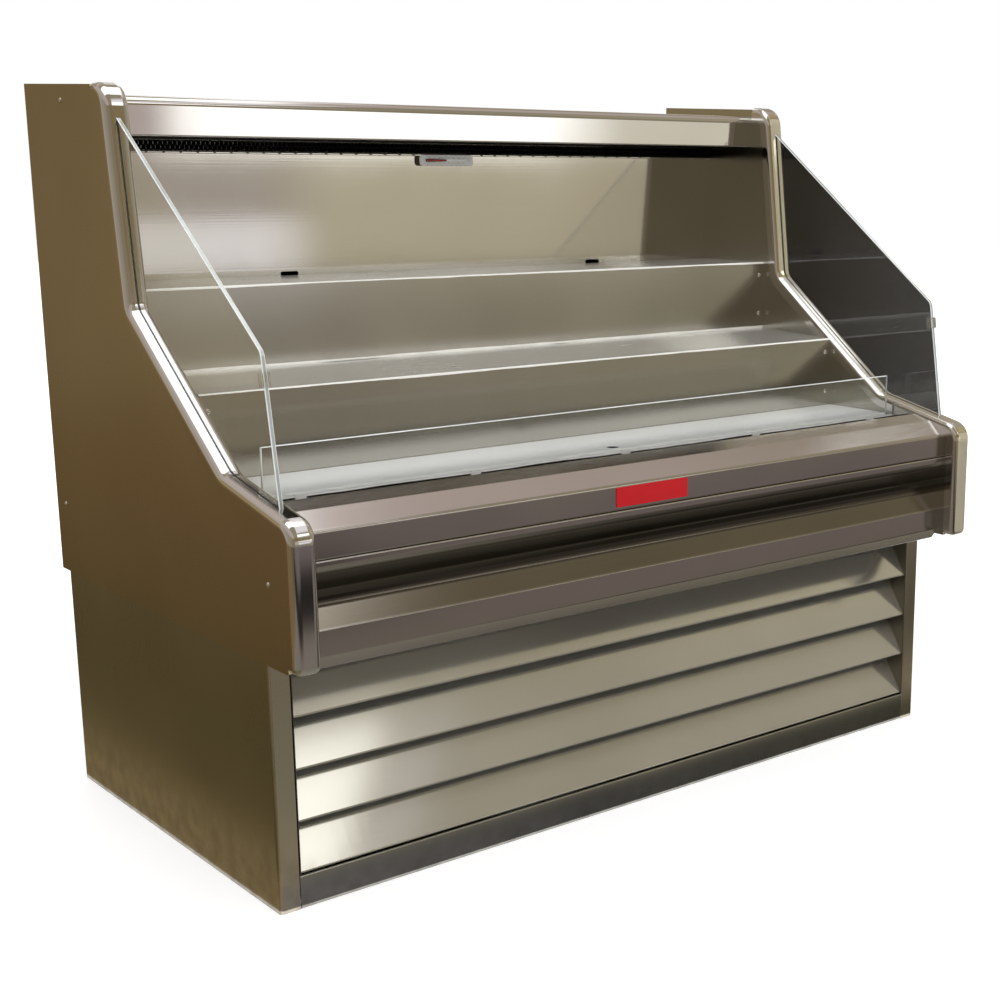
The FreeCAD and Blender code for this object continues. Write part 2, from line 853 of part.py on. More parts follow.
def drain_outlet():
    """Flanged drain tube from the tank floor down to the condensate pan."""
    low = tray_z + tray_thickness + pan_height + foot_pad_height
    tube = through_floor(drain_radius, low, liner_floor_z)
    flange = through_floor(drain_flange_radius, liner_floor_z, liner_floor_z + drain_flange)
    bore = through_floor(drain_radius - drain_wall, low - 1, liner_floor_z + drain_flange + 1)
    return fuse([tube, flange]).cut(bore)


def back_panel():
    return block((-inner_x, inner_x), (back_y, rear_y), (base_height, canopy_rear_z))


# ============================================================ nose rail and front
def nose_rail():
    """Stainless rail over the return duct and down the front to the seam."""
    path = [
        (rail_back_y, rail_back_z - rail_flange),
        (rail_back_y, rail_back_z, fold),
        (rail_back_y - rail_crease_back, rail_back_z - rail_crease_drop),
        (face_y, rail_nose_z, nose_bend),
        (face_y, rail_seam_z, fold),
        (face_y + hem, rail_seam_z),
    ]
    return slab_x(formed(path, 1), -inner_x, inner_x)


def front_panel():
    """Lower front: coved groove, sloping ledge, lip and the return under the body."""
    seam_z = rail_seam_z - seam_gap
    cove_y = face_y + cove_depth
    rear = base_y - seam_gap - sheet
    path = [
        (face_y + hem, seam_z),
        (face_y, seam_z, fold),
        (face_y, cove_top_z, cove_bend),
        (cove_y, cove_deep_top_z, cove_bend),
        (cove_y, cove_deep_low_z, cove_bend),
        (lip_y, ledge_z, fold),
        (lip_y, lip_low_z, lip_bend),
        (lip_y + front_return, front_low_z, fold),
        (rear, front_low_z),
        (rear, base_height),
    ]
    return slab_x(formed(path, 1), -inner_x, inner_x)


def badge_plate():
    """Bare plate on the vertical face of the rail."""
    half = badge_width / 2
    rise = badge_height / 2
    corners = [
        (badge_x - half, badge_z - rise, badge_round),
        (badge_x + half, badge_z - rise, badge_round),
        (badge_x + half, badge_z + rise, badge_round),
        (badge_x - half, badge_z + rise, badge_round),
    ]
    return slab_y(corners, face_y - badge_thickness, face_y)


# =========================================================== decks and tiers
def tread_z(y):
    """Height of the middle tread, which rises a little to the rear."""
    return tread_low_z + (y - riser_low_y) * tread_slope


def lower_deck():
    """Lift-out deck pan with a finger hole near its front edge."""
    rear = riser_low_y - screw_head_height - seat_gap
    path = [
        (deck_front_y, deck_z - deck_flange),
        (deck_front_y, deck_z, fold),
        (rear, deck_z),
    ]
    half = inner_x - deck_clearance
    pan = slab_x(formed(path, -1), -half, half)
    hole_y = deck_front_y + finger_hole_back
    return pan.cut(rod((0, hole_y, deck_z - deck_flange), (0, 0, 1), 2 * deck_flange, finger_hole_radius))


def middle_tier():
    """Riser and tread bent from one sheet; its foot carries the rear of the deck."""
    end_y = riser_high_y + tread_under
    path = [
        (riser_low_y - tier_foot, deck_z - sheet),
        (riser_low_y, deck_z - sheet, fold),
        (riser_low_y, tread_low_z, fold),
        (end_y, tread_z(end_y)),
    ]
    return slab_x(formed(path, -1), -inner_x, inner_x)


def upper_tier():
    """Riser that stands on the middle tread, and the top tread back to the duct panel."""
    foot_y = riser_high_y + tier_foot
    path = [
        (foot_y, tread_z(foot_y)),
        (riser_high_y, tread_z(riser_high_y), fold),
        (riser_high_y, tread_high_z, fold),
        (wall_y, tread_high_z),
    ]
    return slab_x(formed(path, -1), -inner_x, inner_x)


def tier_screws():
    """Screws through both ends of each riser."""
    x = inner_x - tier_screw_inset
    heads = []
    for face, top in ((riser_high_y, tread_high_z), (riser_low_y, tread_low_z)):
        for drop in (tier_screw_edge, tier_screw_edge + tier_screw_pitch):
            for side in (-x, x):
                heads.append(screw_head((side, face, top - drop), (0, -1, 0)))
    return heads


def rear_duct_panel():
    """Front wall of the air duct, with a toothed lip under the discharge slot."""
    path = [
        (wall_y, baffle_z),
        (wall_y, wall_top_z - sheet, fold),
        (wall_y - wall_lip, wall_top_z - sheet),
    ]
    panel = slab_x(formed(path, -1), -inner_x, inner_x)
    cuts = []
    for x in (wall_slot_shift - wall_slot_spacing / 2, wall_slot_shift + wall_slot_spacing / 2):
        slot = obround(x, wall_slot_z, wall_slot_width, wall_slot_height)
        cuts.append(slab_y(slot, wall_y - wall_lip, wall_y + wall_lip))
    count = int((2 * inner_x - tooth_pitch) / tooth_pitch)
    for x in spread(count, tooth_pitch):
        cuts.append(block(
            (x - tooth_width / 2, x + tooth_width / 2),
            (wall_y - wall_lip - 1, wall_y - wall_lip / 2),
            (wall_top_z - 2 * sheet, wall_top_z + sheet),
        ))
    return panel.cut(cuts)


# =============================================== front dam, its channel and grille
def deck_rail():
    """Folded rail that carries the deck front and holds the dam in its channel."""
    ledge = slab_x(formed([
        (rail_web_y + deck_rail_top, deck_z - sheet),
        (rail_web_y, deck_z - sheet, fold),
        (rail_web_y, return_grille_z),
    ], 1), -inner_x, inner_x)
    channel = slab_x(formed([
        (rail_web_y, channel_z - sheet),
        (channel_lip_y - sheet, channel_z - sheet, fold),
        (channel_lip_y - sheet, deck_z - sheet),
    ], -1), -inner_x, inner_x)
    return fuse([ledge, channel])


def front_dam():
    """Clear product stop that stands in the channel along the deck front."""
    half = inner_x - dam_end_gap
    return block((-half, half), (dam_front_y, dam_rear_y), (channel_z, channel_z + dam_height))


def dam_clips():
    """Spring clips folded over the channel lip, between it and the dam."""
    thickness = min(sheet, (dam_front_gap - seat_gap) / 2)
    clips = []
    top_z = deck_z - sheet + seat_gap
    for x in spread(dam_clip_count, dam_clip_spacing):
        path = [
            (channel_lip_y - sheet - seat_gap, top_z - dam_clip_leg),
            (channel_lip_y - sheet - seat_gap, top_z),
            (channel_lip_y + seat_gap, top_z),
            (channel_lip_y + seat_gap, top_z - dam_clip_leg),
        ]
        corners = formed(path, 1, thickness)
        clips.append(slab_x(corners, x - dam_clip_width / 2, x + dam_clip_width / 2))
    return group(clips)


def return_air_grille():
    """Slotted strip across the return duct, below the rail."""
    strip = block(
        (-inner_x, inner_x),
        (liner_face_y, rail_web_y + sheet),
        (return_grille_z - sheet, return_grille_z),
    )
    count = int((2 * inner_x - return_slot_pitch) / return_slot_pitch)
    slots = []
    for x in spread(count, return_slot_pitch):
        slots.append(block(
            (x - return_slot_width / 2, x + return_slot_width / 2),
            (liner_face_y + return_slot_margin, rail_web_y - return_slot_margin),
            (return_grille_z - 2 * sheet, return_grille_z + sheet),
        ))
    return strip.cut(slots)


# ===================================================== canopy and air discharge
def canopy():
    """Stainless hood over the air duct: underside, front face and top."""
    path = [
        (back_y, canopy_low_z),
        (canopy_y, canopy_low_z, fold),
        (canopy_y, canopy_top_z, canopy_round),
        (back_y, canopy_rear_z),
        (back_y, canopy_rear_z - canopy_flange),
    ]
    return slab_x(formed(path, -1), -inner_x, inner_x)


def canopy_insulation():
    """Foam inside the hood."""
    rise = (canopy_rear_z - canopy_top_z) / (back_y - canopy_y)
    front = canopy_y + sheet
    rear = back_y - sheet
    corners = [
        (front + seat_gap, canopy_low_z + sheet, fold + seat_gap),
        (rear - seat_gap, canopy_low_z + sheet),
        (rear - seat_gap, canopy_top_z + rise * (rear - canopy_y) - sheet - seat_gap),
        (front + seat_gap, canopy_top_z - sheet - seat_gap, canopy_round),
    ]
    return slab_x(corners, -inner_x, inner_x)


def discharge_honeycomb():
    """Air straightener in the slot between the duct panel and the hood."""
    front = wall_y - wall_lip
    bar = block((-inner_x, inner_x), (front, front + honeycomb_depth), (wall_top_z, canopy_low_z))
    count = int((2 * inner_x - honeycomb_pitch) / honeycomb_pitch)
    slots = []
    for x in spread(count, honeycomb_pitch):
        slots.append(block(
            (x - honeycomb_slot / 2, x + honeycomb_slot / 2),
            (front - 1, front + honeycomb_depth + 1),
            (wall_top_z + honeycomb_border, canopy_low_z - honeycomb_border),
        ))
    return bar.cut(slots)


def thermometer():
    """Tube thermometer on a plate, hung on the lip of the duct panel."""
    rear = wall_y - wall_lip
    half = thermometer_width / 2
    low = wall_top_z - thermometer_height
    plate = slab_y([
        (thermometer_x - half, low, thermometer_height / 3),
        (thermometer_x + half, low, thermometer_height / 3),
        (thermometer_x + half, wall_top_z, thermometer_height / 3),
        (thermometer_x - half, wall_top_z, thermometer_height / 3),
    ], rear - thermometer_plate, rear)
    tube_z = wall_top_z - thermometer_height / 2
    tube = rod(
        (thermometer_x - half * 0.8, rear - thermometer_plate, tube_z),
        (1, 0, 0), half * 1.6, thermometer_tube,
    )
    return fuse([plate, tube])


# ================================================================== machine base
def angle_x(y, z, turn_y, turn_z, x0, x1):
    """Rolled angle along X with its corner at (y, z) and legs along the two turns."""
    corners = [
        (y, z),
        (y + turn_y * frame_leg, z),
        (y + turn_y * frame_leg, z + turn_z * frame_wall),
        (y + turn_y * frame_wall, z + turn_z * frame_wall),
        (y + turn_y * frame_wall, z + turn_z * frame_leg),
        (y, z + turn_z * frame_leg),
    ]
    return slab_x(corners, x0, x1)


def angle_y(x, z, turn_x, turn_z, y0, y1):
    corners = [
        (x, z),
        (x + turn_x * frame_leg, z),
        (x + turn_x * frame_leg, z + turn_z * frame_wall),
        (x + turn_x * frame_wall, z + turn_z * frame_wall),
        (x + turn_x * frame_wall, z + turn_z * frame_leg),
        (x, z + turn_z * frame_leg),
    ]
    return slab_y(corners, y0, y1)


def angle_z(x, y, turn_x, turn_y, z0, z1):
    corners = [
        (x, y),
        (x + turn_x * frame_leg, y),
        (x + turn_x * frame_leg, y + turn_y * frame_wall),
        (x + turn_x * frame_wall, y + turn_y * frame_wall),
        (x + turn_x * frame_wall, y + turn_y * frame_leg),
        (x, y + turn_y * frame_leg),
    ]
    return slab_z(corners, z0, z1)


def base_frame():
    """Welded angle frame that carries the tank and the machine tray."""
    bars = []
    for side in (-1, 1):
        x = side * frame_x
        bars.append(angle_z(x, frame_front_y, -side, 1, rail_low_z, base_height))
        bars.append(angle_z(x, frame_rear_y, -side, -1, rail_low_z, base_height))
        bars.append(angle_y(x, rail_low_z, -side, 1, frame_front_y, frame_rear_y))
        bars.append(angle_y(x, base_height, -side, -1, frame_front_y, frame_rear_y))
    bars.append(angle_x(frame_front_y, rail_low_z, 1, 1, -frame_x, frame_x))
    bars.append(angle_x(frame_rear_y, rail_low_z, -1, 1, -frame_x, frame_x))
    bars.append(angle_x(frame_rear_y, base_height, -1, -1, -frame_x, frame_x))
    header_y = base_y + blade_depth + frame_leg
    bars.append(angle_x(header_y, base_height, 1, -1, -frame_x, frame_x))
    return fuse(bars)


def levelling_feet():
    """Threaded feet under the frame's corners."""
    feet = []
    for x in (-frame_x + foot_inset, frame_x - foot_inset):
        for y in (frame_front_y + foot_pad_radius, frame_rear_y - foot_pad_radius):
            profile = [
                (0, 0),
                (foot_pad_radius, 0),
                (foot_pad_radius, foot_pad_height / 2),
                (foot_stem_radius, foot_pad_height),
                (foot_stem_radius, rail_low_z),
                (0, rail_low_z),
            ]
            feet.append(turned(profile, (x, y, 0), (0, 0, 1)))
    return group(feet)


def base_side():
    """Right side of the base: rear flange, side and the front post, bent from one sheet."""
    path = [
        (base_x - side_flange, rear_y),
        (base_x, rear_y),
        (base_x, base_y, base_bend),
        (base_x - post_width, base_y, fold),
        (base_x - post_width, base_y + post_return),
    ]
    return slab_z(formed(path, -1), 0, base_height)


def base_rear_panel():
    """Back of the base with two banks of air slots."""
    panel = block((-frame_x, frame_x), (frame_rear_y, back_y), (rear_panel_low_z, base_height))
    cuts = []
    for x in (-rear_slot_x, rear_slot_x):
        for i in range(rear_slot_rows):
            slot = obround(x, rear_slot_z + i * rear_slot_pitch, rear_slot_width, rear_slot_height)
            cuts.append(slab_y(slot, frame_rear_y - 1, back_y + 1))
    return panel.cut(cuts)


def kick_plate():
    """Plinth strip between the posts, from the floor to the grille."""
    half = base_x - post_width
    path = [
        (base_y + kick_flange, 0),
        (base_y, 0, fold),
        (base_y, kick_height, fold),
        (base_y + kick_flange, kick_height),
    ]
    return slab_x(formed(path, -1), -half, half)


# ================================================================= louvre grille
def louvre_blades():
    """Slanting blades, each with a hem at the foot and a flange at the top."""
    half = grille_x - sheet
    front = base_y + grille_front_gap
    blades = []
    for i in range(blade_count):
        low = blade_low_z + i * blade_pitch
        path = [
            (front + blade_hem, low),
            (front, low, fold),
            (front + blade_depth, low + blade_rise, fold),
            (front + blade_depth + blade_top_flange, low + blade_rise),
        ]
        blades.append(slab_x(formed(path, -1), -half, half))
    return group(blades)


def grille_frame():
    """Side channels and header that hold the blades; the whole grille lifts off."""
    front = base_y + grille_front_gap
    rear = front + blade_depth + blade_top_flange
    low = kick_height
    webs = [
        block((-grille_x, -grille_x + sheet), (front, rear), (low, grille_top_z)),
        block((grille_x - sheet, grille_x), (front, rear), (low, grille_top_z)),
    ]
    header = [
        (front + blade_depth, blade_low_z + (blade_count - 1) * blade_pitch + blade_rise),
        (front + blade_depth, grille_top_z, fold),
        (rear, grille_top_z),
    ]
    webs.append(slab_x(formed(header, -1), -grille_x, grille_x))
    return fuse(webs)


# =============================================================== condensing unit
def unit_tray():
    """Sheet tray with turned-up sides, on the frame's front and rear rails."""
    path = [
        (-tray_half_width, tray_z + tray_lip),
        (-tray_half_width, tray_z),
        (tray_half_width, tray_z),
        (tray_half_width, tray_z + tray_lip),
    ]
    return slab_y(formed(path, 1, tray_thickness), frame_front_y, frame_rear_y - tray_rear_gap)


def mount_places():
    for dx in (-1, 1):
        for dy in (-1, 1):
            x = compressor_x + dx * (compressor_plate_x / 2 - mount_inset)
            y = compressor_y + dy * (compressor_plate_y / 2 - mount_inset)
            yield x, y


def compressor_mounts():
    """Rubber feet under the compressor plate."""
    return group([rod((x, y, tray_top), (0, 0, 1), mount_height, mount_radius) for x, y in mount_places()])


def compressor():
    """Hermetic compressor: two welded shells on a foot plate, with a terminal box."""
    top = compressor_z + compressor_height
    seam_z = compressor_z + compressor_height / 2
    half_seam = compressor_seam_height / 2
    lead = compressor_radius * 0.78
    profile = [
        (0, compressor_z),
        (lead, compressor_z),
        (compressor_radius, compressor_z + compressor_dome / 2),
        (compressor_radius, seam_z - half_seam),
        (compressor_radius + compressor_seam, seam_z - half_seam),
        (compressor_radius + compressor_seam, seam_z + half_seam),
        (compressor_radius, seam_z + half_seam),
        (compressor_radius, top - compressor_dome),
        (compressor_radius * 0.9, top - compressor_dome * 0.5),
        (compressor_radius * 0.62, top - compressor_dome * 0.13),
        (compressor_radius * 0.3, top),
        (0, top),
    ]
    shell = turned(profile, (compressor_x, compressor_y, 0), (0, 0, 1))
    half_x = compressor_plate_x / 2
    half_y = compressor_plate_y / 2
    plate = slab_z([
        (compressor_x - half_x, compressor_y - half_y, mount_inset),
        (compressor_x + half_x, compressor_y - half_y, mount_inset),
        (compressor_x + half_x, compressor_y + half_y, mount_inset),
        (compressor_x - half_x, compressor_y + half_y, mount_inset),
    ], compressor_z - compressor_plate, compressor_z)
    front = compressor_y - compressor_radius - terminal_depth / 2
    terminal = block(
        (compressor_x - terminal_width / 2, compressor_x + terminal_width / 2),
        (front, front + terminal_depth),
        (seam_z - terminal_height - half_seam, seam_z - half_seam),
    )
    return fuse([shell, plate, terminal])


def finned_core(x0, x1, y0, y1, z0, z1, pitch, groove):
    """Coil block whose fins stand out as a comb on its front and rear."""
    count = int((x1 - x0 - pitch) / pitch)
    middle = (x0 + x1) / 2
    core = block((x0, x1), (y0, y1), (z0, z1))
    cuts = []
    for offset in spread(count, pitch):
        span = (middle + offset - groove / 2, middle + offset + groove / 2)
        cuts.append(block(span, (y0 - 1, y0 + fin_groove_depth), (z0 - 1, z1 + 1)))
        cuts.append(block(span, (y1 - fin_groove_depth, y1 + 1), (z0 - 1, z1 + 1)))
    return core.cut(cuts)


def tube_bends(x, y, z0, z1, rows, first, outward):
    """Return bends that join pairs of tubes, standing out of a coil's end plate."""
    pitch = (z1 - z0) / (rows + 1)
    bends = []
    for i in range(first, rows, 2):
        low = z0 + i * pitch
        high = low + pitch
        reach = x + outward * (pitch / 2 + tube_radius)
        shoulder = reach - outward * pitch / 3
        bends.append(elbow_tube([
            (x, y, low), (shoulder, y, low), (reach, y, low + pitch / 3),
            (reach, y, high - pitch / 3), (shoulder, y, high), (x, y, high),
        ], tube_radius))
    return bends


def condenser_coil():
    """Finned condenser with end plates and return bends."""
    top = condenser_z + condenser_height
    core = finned_core(
        condenser_left + coil_plate, condenser_right - coil_plate,
        condenser_front_y + coil_plate, condenser_rear_y,
        condenser_z, top, fin_pitch, fin_groove,
    )
    plates = [
        block((condenser_left, condenser_left + coil_plate), (condenser_front_y, condenser_rear_y), (condenser_z, top)),
        block((condenser_right - coil_plate, condenser_right), (condenser_front_y, condenser_rear_y), (condenser_z, top)),
    ]
    middle = (condenser_front_y + condenser_rear_y) / 2
    bends = tube_bends(condenser_left, middle, condenser_z, top, condenser_tube_rows, 2, -1)
    bends += tube_bends(condenser_right, middle, condenser_z, top, condenser_tube_rows, 1, 1)
    return fuse([core] + plates + bends)


def condenser_shroud():
    """Sheet shroud from the coil back to the fan opening."""
    top = condenser_z + condenser_height
    outer = block((condenser_left, condenser_right), (condenser_rear_y, shroud_rear_y), (condenser_z, top))
    inner = block(
        (condenser_left + shroud_flange, condenser_right - shroud_flange),
        (condenser_rear_y - 1, shroud_rear_y - shroud_flange),
        (condenser_z + shroud_flange, top - shroud_flange),
    )
    opening = rod((fan_x, shroud_rear_y - shroud_depth / 2, fan_z), (0, 1, 0), shroud_depth, fan_orifice_radius)
    return outer.cut([inner, opening])


def fan(centre, tip, hub, hub_length, reach):
    """Axial fan about Y: hub, pitched blades and the shaft that enters the motor."""
    blade = Part.Face(outline([
        (hub * 0.6, -hub * 0.5),
        (tip * 0.86, -tip * math.sin(math.radians(fan_blade_sweep / 2)), tip * 0.12),
        (tip * 0.9, tip * math.sin(math.radians(fan_blade_sweep / 2)), tip * 0.2),
        (hub * 0.6, hub * 0.5),
    ], at_y(-fan_blade_thickness / 2))).extrude(vector(0, fan_blade_thickness, 0))
    blade.rotate(vector(0, 0, 0), vector(1, 0, 0), fan_blade_pitch)
    solids = [rod((0, -hub_length / 2, 0), (0, 1, 0), hub_length, hub)]
    for i in range(fan_blade_count):
        copy = blade.copy()
        copy.rotate(vector(0, 0, 0), vector(0, 1, 0), i * 360.0 / fan_blade_count)
        solids.append(copy)
    solids.append(rod((0, 0, 0), (0, 1, 0), reach, fan_shaft_radius))
    shape = fuse(solids)
    shape.translate(vector(*centre))
    return shape


def condenser_fan():
    tip = fan_orifice_radius - fan_tip_gap
    reach = condenser_motor_y - fan_y + shaft_grip
    return fan((fan_x, fan_y, fan_z), tip, fan_hub_radius, fan_hub_length, reach)


def shaft_bore(centre):
    """Hole in a motor's front face that a fan shaft turns in."""
    return rod((centre[0], centre[1] - 1, centre[2]), (0, 1, 0), shaft_grip + 2, fan_shaft_radius + shaft_clearance)


def motor_body(centre, radius, length, rounding_radius):
    """Round fan motor about Y."""
    profile = [
        (0, 0),
        (radius - rounding_radius, 0),
        (radius, rounding_radius),
        (radius, length - rounding_radius),
        (radius - rounding_radius, length),
        (0, length),
    ]
    return turned(profile, centre, (0, 1, 0))


def condenser_motor():
    """Fan motor in the band of its bracket, which stands on the tray."""
    centre = (fan_x, condenser_motor_y, fan_z)
    body = motor_body(centre, condenser_motor_radius, condenser_motor_length, motor_round)
    middle = condenser_motor_y + condenser_motor_length / 2
    half = motor_post_width / 2
    post = slab_x([
        (middle - half, tray_top),
        (middle + half, tray_top),
        (middle + half, tray_top + motor_band),
        (middle + motor_band, tray_top + motor_band),
        (middle + motor_band, fan_z),
        (middle - motor_band, fan_z),
        (middle - motor_band, tray_top + motor_band),
        (middle - half, tray_top + motor_band),
    ], fan_x - half, fan_x + half)
    ring = rod((fan_x, middle - half / 2, fan_z), (0, 1, 0), half, condenser_motor_radius + motor_band)
    return fuse([body, post, ring]).cut(shaft_bore(centre))


def receiver_tank():
    """Upright liquid receiver with domed ends on a foot ring."""
    low = tray_top + receiver_foot
    top = low + receiver_height
    profile = [
        (0, tray_top),
        (receiver_radius * 0.7, tray_top),
        (receiver_radius * 0.7, low),
        (receiver_radius, low + receiver_foot),
        (receiver_radius, top - receiver_foot * 2),
        (receiver_radius * 0.75, top - receiver_foot * 0.6),
        (receiver_radius * 0.3, top),
        (0, top),
    ]
    return turned(profile, (receiver_x, receiver_y, 0), (0, 0, 1))


def filter_drier():
    """Capsule in the liquid line."""
    neck = drier_radius * 0.4
    profile = [
        (0, 0),
        (neck, 0),
        (neck, neck),
        (drier_radius, neck * 2),
        (drier_radius, drier_length - neck * 2),
        (neck, drier_length - neck),
        (neck, drier_length),
        (0, drier_length),
    ]
    return turned(profile, (drier_x, receiver_y, drier_z - drier_length / 2), (0, 0, 1))


def refrigerant_pipes():
    """Discharge line, liquid lines through the receiver, drier and valve, and suction line."""
    shell_z = compressor_z + compressor_height * 0.36
    row = condenser_height / (condenser_tube_rows + 1)
    middle = (condenser_front_y + condenser_rear_y) / 2
    side = compressor_x + compressor_radius
    discharge = pipe([
        (side, compressor_y, shell_z),
        (side + 2 * pipe_bend, compressor_y, shell_z),
        (side + 2 * pipe_bend, middle, shell_z),
        (side + 2 * pipe_bend, middle, condenser_z + row * condenser_tube_rows),
        (condenser_left, middle, condenser_z + row * condenser_tube_rows),
    ], liquid_radius, pipe_bend)
    to_receiver = pipe([
        (condenser_left, middle, condenser_z + row),
        (receiver_x, middle, condenser_z + row),
        (receiver_x, receiver_y - receiver_radius, condenser_z + row),
    ], liquid_radius, pipe_bend)
    drier_low = drier_z - drier_length / 2
    to_drier = pipe([
        (receiver_x + receiver_radius, receiver_y, drier_low - 2 * pipe_bend),
        (drier_x, receiver_y, drier_low - 2 * pipe_bend),
        (drier_x, receiver_y, drier_low),
    ], liquid_radius, pipe_bend)
    run_z = base_height - 2 * pipe_bend
    to_valve = pipe([
        (drier_x, receiver_y, drier_z + drier_length / 2),
        (drier_x, receiver_y, run_z + pipe_bend / 2),
        (-riser_x, receiver_y, run_z + pipe_bend / 2),
        (-riser_x, receiver_y, valve_z),
    ], liquid_radius, pipe_bend)
    coil_row = coil_height / (coil_tube_rows + 1)
    coil_low = liner_floor_z + coil_foot
    to_coil = pipe([
        (-riser_x, receiver_y, valve_z + valve_height),
        (-riser_x, receiver_y, coil_low + coil_row * coil_tube_rows),
        (-coil_width / 2, receiver_y, coil_low + coil_row * coil_tube_rows),
    ], liquid_radius, pipe_bend)
    suction = pipe([
        (compressor_x, compressor_y, compressor_z + compressor_height),
        (compressor_x, compressor_y, run_z),
        (-riser_x, compressor_y, run_z),
        (-riser_x, compressor_y, coil_low + coil_row),
        (-coil_width / 2, compressor_y, coil_low + coil_row),
    ], suction_radius, pipe_bend)
    return group([discharge, to_receiver, to_drier, to_valve, to_coil, suction])


def expansion_valve():
    """Brass valve on the liquid line ahead of the coil, with its diaphragm housing."""
    centre = (-riser_x, receiver_y)
    body = rod(centre + (valve_z,), (0, 0, 1), valve_height, valve_radius)
    neck_z = valve_z + valve_height / 2
    neck = rod(centre + (neck_z,), (0, 1, 0), valve_radius * 1.6, valve_radius * 0.6)
    dome = rod(
        (-riser_x, receiver_y + valve_radius * 1.6, neck_z), (0, 1, 0),
        valve_dome_height, valve_dome,
    )
    return fuse([body, neck, dome])


def condensate_pan():
    """Open pan that catches the drain water, on the machine tray."""
    x0 = pan_x - pan_width / 2
    y0 = pan_y - pan_depth / 2
    outer = block((x0, x0 + pan_width), (y0, y0 + pan_depth), (tray_top, tray_top + pan_height))
    inner = block(
        (x0 + sheet, x0 + pan_width - sheet),
        (y0 + sheet, y0 + pan_depth - sheet),
        (tray_top + sheet, tray_top + pan_height + 1),
    )
    return outer.cut(inner)


# ============================================================ electrical controls
def control_box():
    """Folded steel box on the tray, with the dial's shaft hole and the switch bezel."""
    x0 = control_x - control_width / 2
    x1 = control_x + control_width / 2
    rear = control_front_y + control_depth
    top = tray_top + control_height
    outer = block((x0, x1), (control_front_y, rear), (tray_top, top))
    inner = block((x0 + sheet, x1 - sheet), (control_front_y + sheet, rear - sheet), (tray_top + sheet, top - sheet))
    lid = block((x0 - sheet, x1 + sheet), (control_front_y, rear + sheet), (top - control_lid_lap, top + sheet))
    lid = lid.cut(block((x0, x1), (control_front_y - 1, rear), (top - control_lid_lap - 1, top)))
    dial_boss = rod((dial_x, control_front_y, dial_z), (0, 1, 0), dial_shaft_length + sheet, dial_shaft_radius * 2)
    shaft_hole = rod(
        (dial_x, control_front_y - 1, dial_z), (0, 1, 0), dial_shaft_length + 1,
        dial_shaft_radius + shaft_clearance,
    )
    half_x = switch_width / 2 + seat_gap
    half_z = switch_height / 2 + seat_gap
    bezel = block(
        (switch_x - half_x - switch_bezel, switch_x + half_x + switch_bezel),
        (control_front_y - switch_bezel / 2, control_front_y + switch_depth * 1.6),
        (switch_z - half_z - switch_bezel, switch_z + half_z + switch_bezel),
    )
    well = block(
        (switch_x - half_x, switch_x + half_x),
        (control_front_y - switch_bezel, control_front_y + switch_depth * 1.4),
        (switch_z - half_z, switch_z + half_z),
    )
    pin_hole = rod(
        (switch_x - half_x - switch_bezel / 2, control_front_y, switch_z), (1, 0, 0),
        2 * half_x + switch_bezel, switch_pin_radius + shaft_clearance,
    )
    shell = outer.cut(inner)
    shape = fuse([shell, lid, dial_boss, bezel])
    return shape.cut([shaft_hole, well, pin_hole])


def thermostat_dial():
    """Turned dial with a grip rib, on its shaft."""
    profile = [
        (0, 0),
        (dial_radius, 0),
        (dial_radius, dial_height * 0.4),
        (dial_radius * 0.8, dial_height * 0.6),
        (dial_radius * 0.74, dial_height),
        (0, dial_height),
    ]
    place = (dial_x, control_front_y - seat_gap, dial_z)
    knob = turned(profile, place, (0, -1, 0))
    rib = block(
        (dial_x - dial_radius * 0.14, dial_x + dial_radius * 0.14),
        (control_front_y - seat_gap - dial_height * 1.25, control_front_y - seat_gap - dial_height * 0.5),
        (dial_z - dial_radius * 0.74, dial_z + dial_radius * 0.96),
    )
    shaft = rod((dial_x, control_front_y - seat_gap, dial_z), (0, 1, 0), dial_shaft_length - 1, dial_shaft_radius)
    return fuse([knob, rib, shaft])


def power_switch():
    """Rocker whose two faces slope from its pivot."""
    half = switch_height / 2
    proud = switch_depth * 0.35
    slope = half * math.tan(math.radians(switch_tilt))
    rear = control_front_y + switch_depth * 0.6
    corners = [
        (control_front_y - proud - slope, switch_z + half * 0.82),
        (control_front_y - proud, switch_z),
        (control_front_y - proud - slope, switch_z - half * 0.82),
        (rear, switch_z - half * 0.5),
        (rear, switch_z + half * 0.5),
    ]
    body = slab_x(corners, switch_x - switch_width / 2, switch_x + switch_width / 2)
    pin = rod(
        (switch_x - switch_width / 2 - switch_bezel / 3, control_front_y, switch_z), (1, 0, 0),
        switch_width + switch_bezel * 2 / 3, switch_pin_radius,
    )
    rocker = fuse([body, pin])
    rocker.rotate(vector(switch_x, control_front_y, switch_z), vector(1, 0, 0), switch_tilt)
    return rocker


# =========================================================== evaporator section
def fan_plenum():
    """Baffle with the fan openings, folded back over the coil to the duct panel."""
    path = [
        (plenum_y, liner_floor_z),
        (plenum_y, baffle_z),
        (wall_y + sheet, baffle_z),
    ]
    wall = slab_x(formed(path, -1), -inner_x, inner_x)
    cuts = [rod((x, plenum_y - 1, evap_fan_z), (0, 1, 0), sheet + 2, evap_orifice_radius) for x in evap_places]
    return wall.cut(cuts)


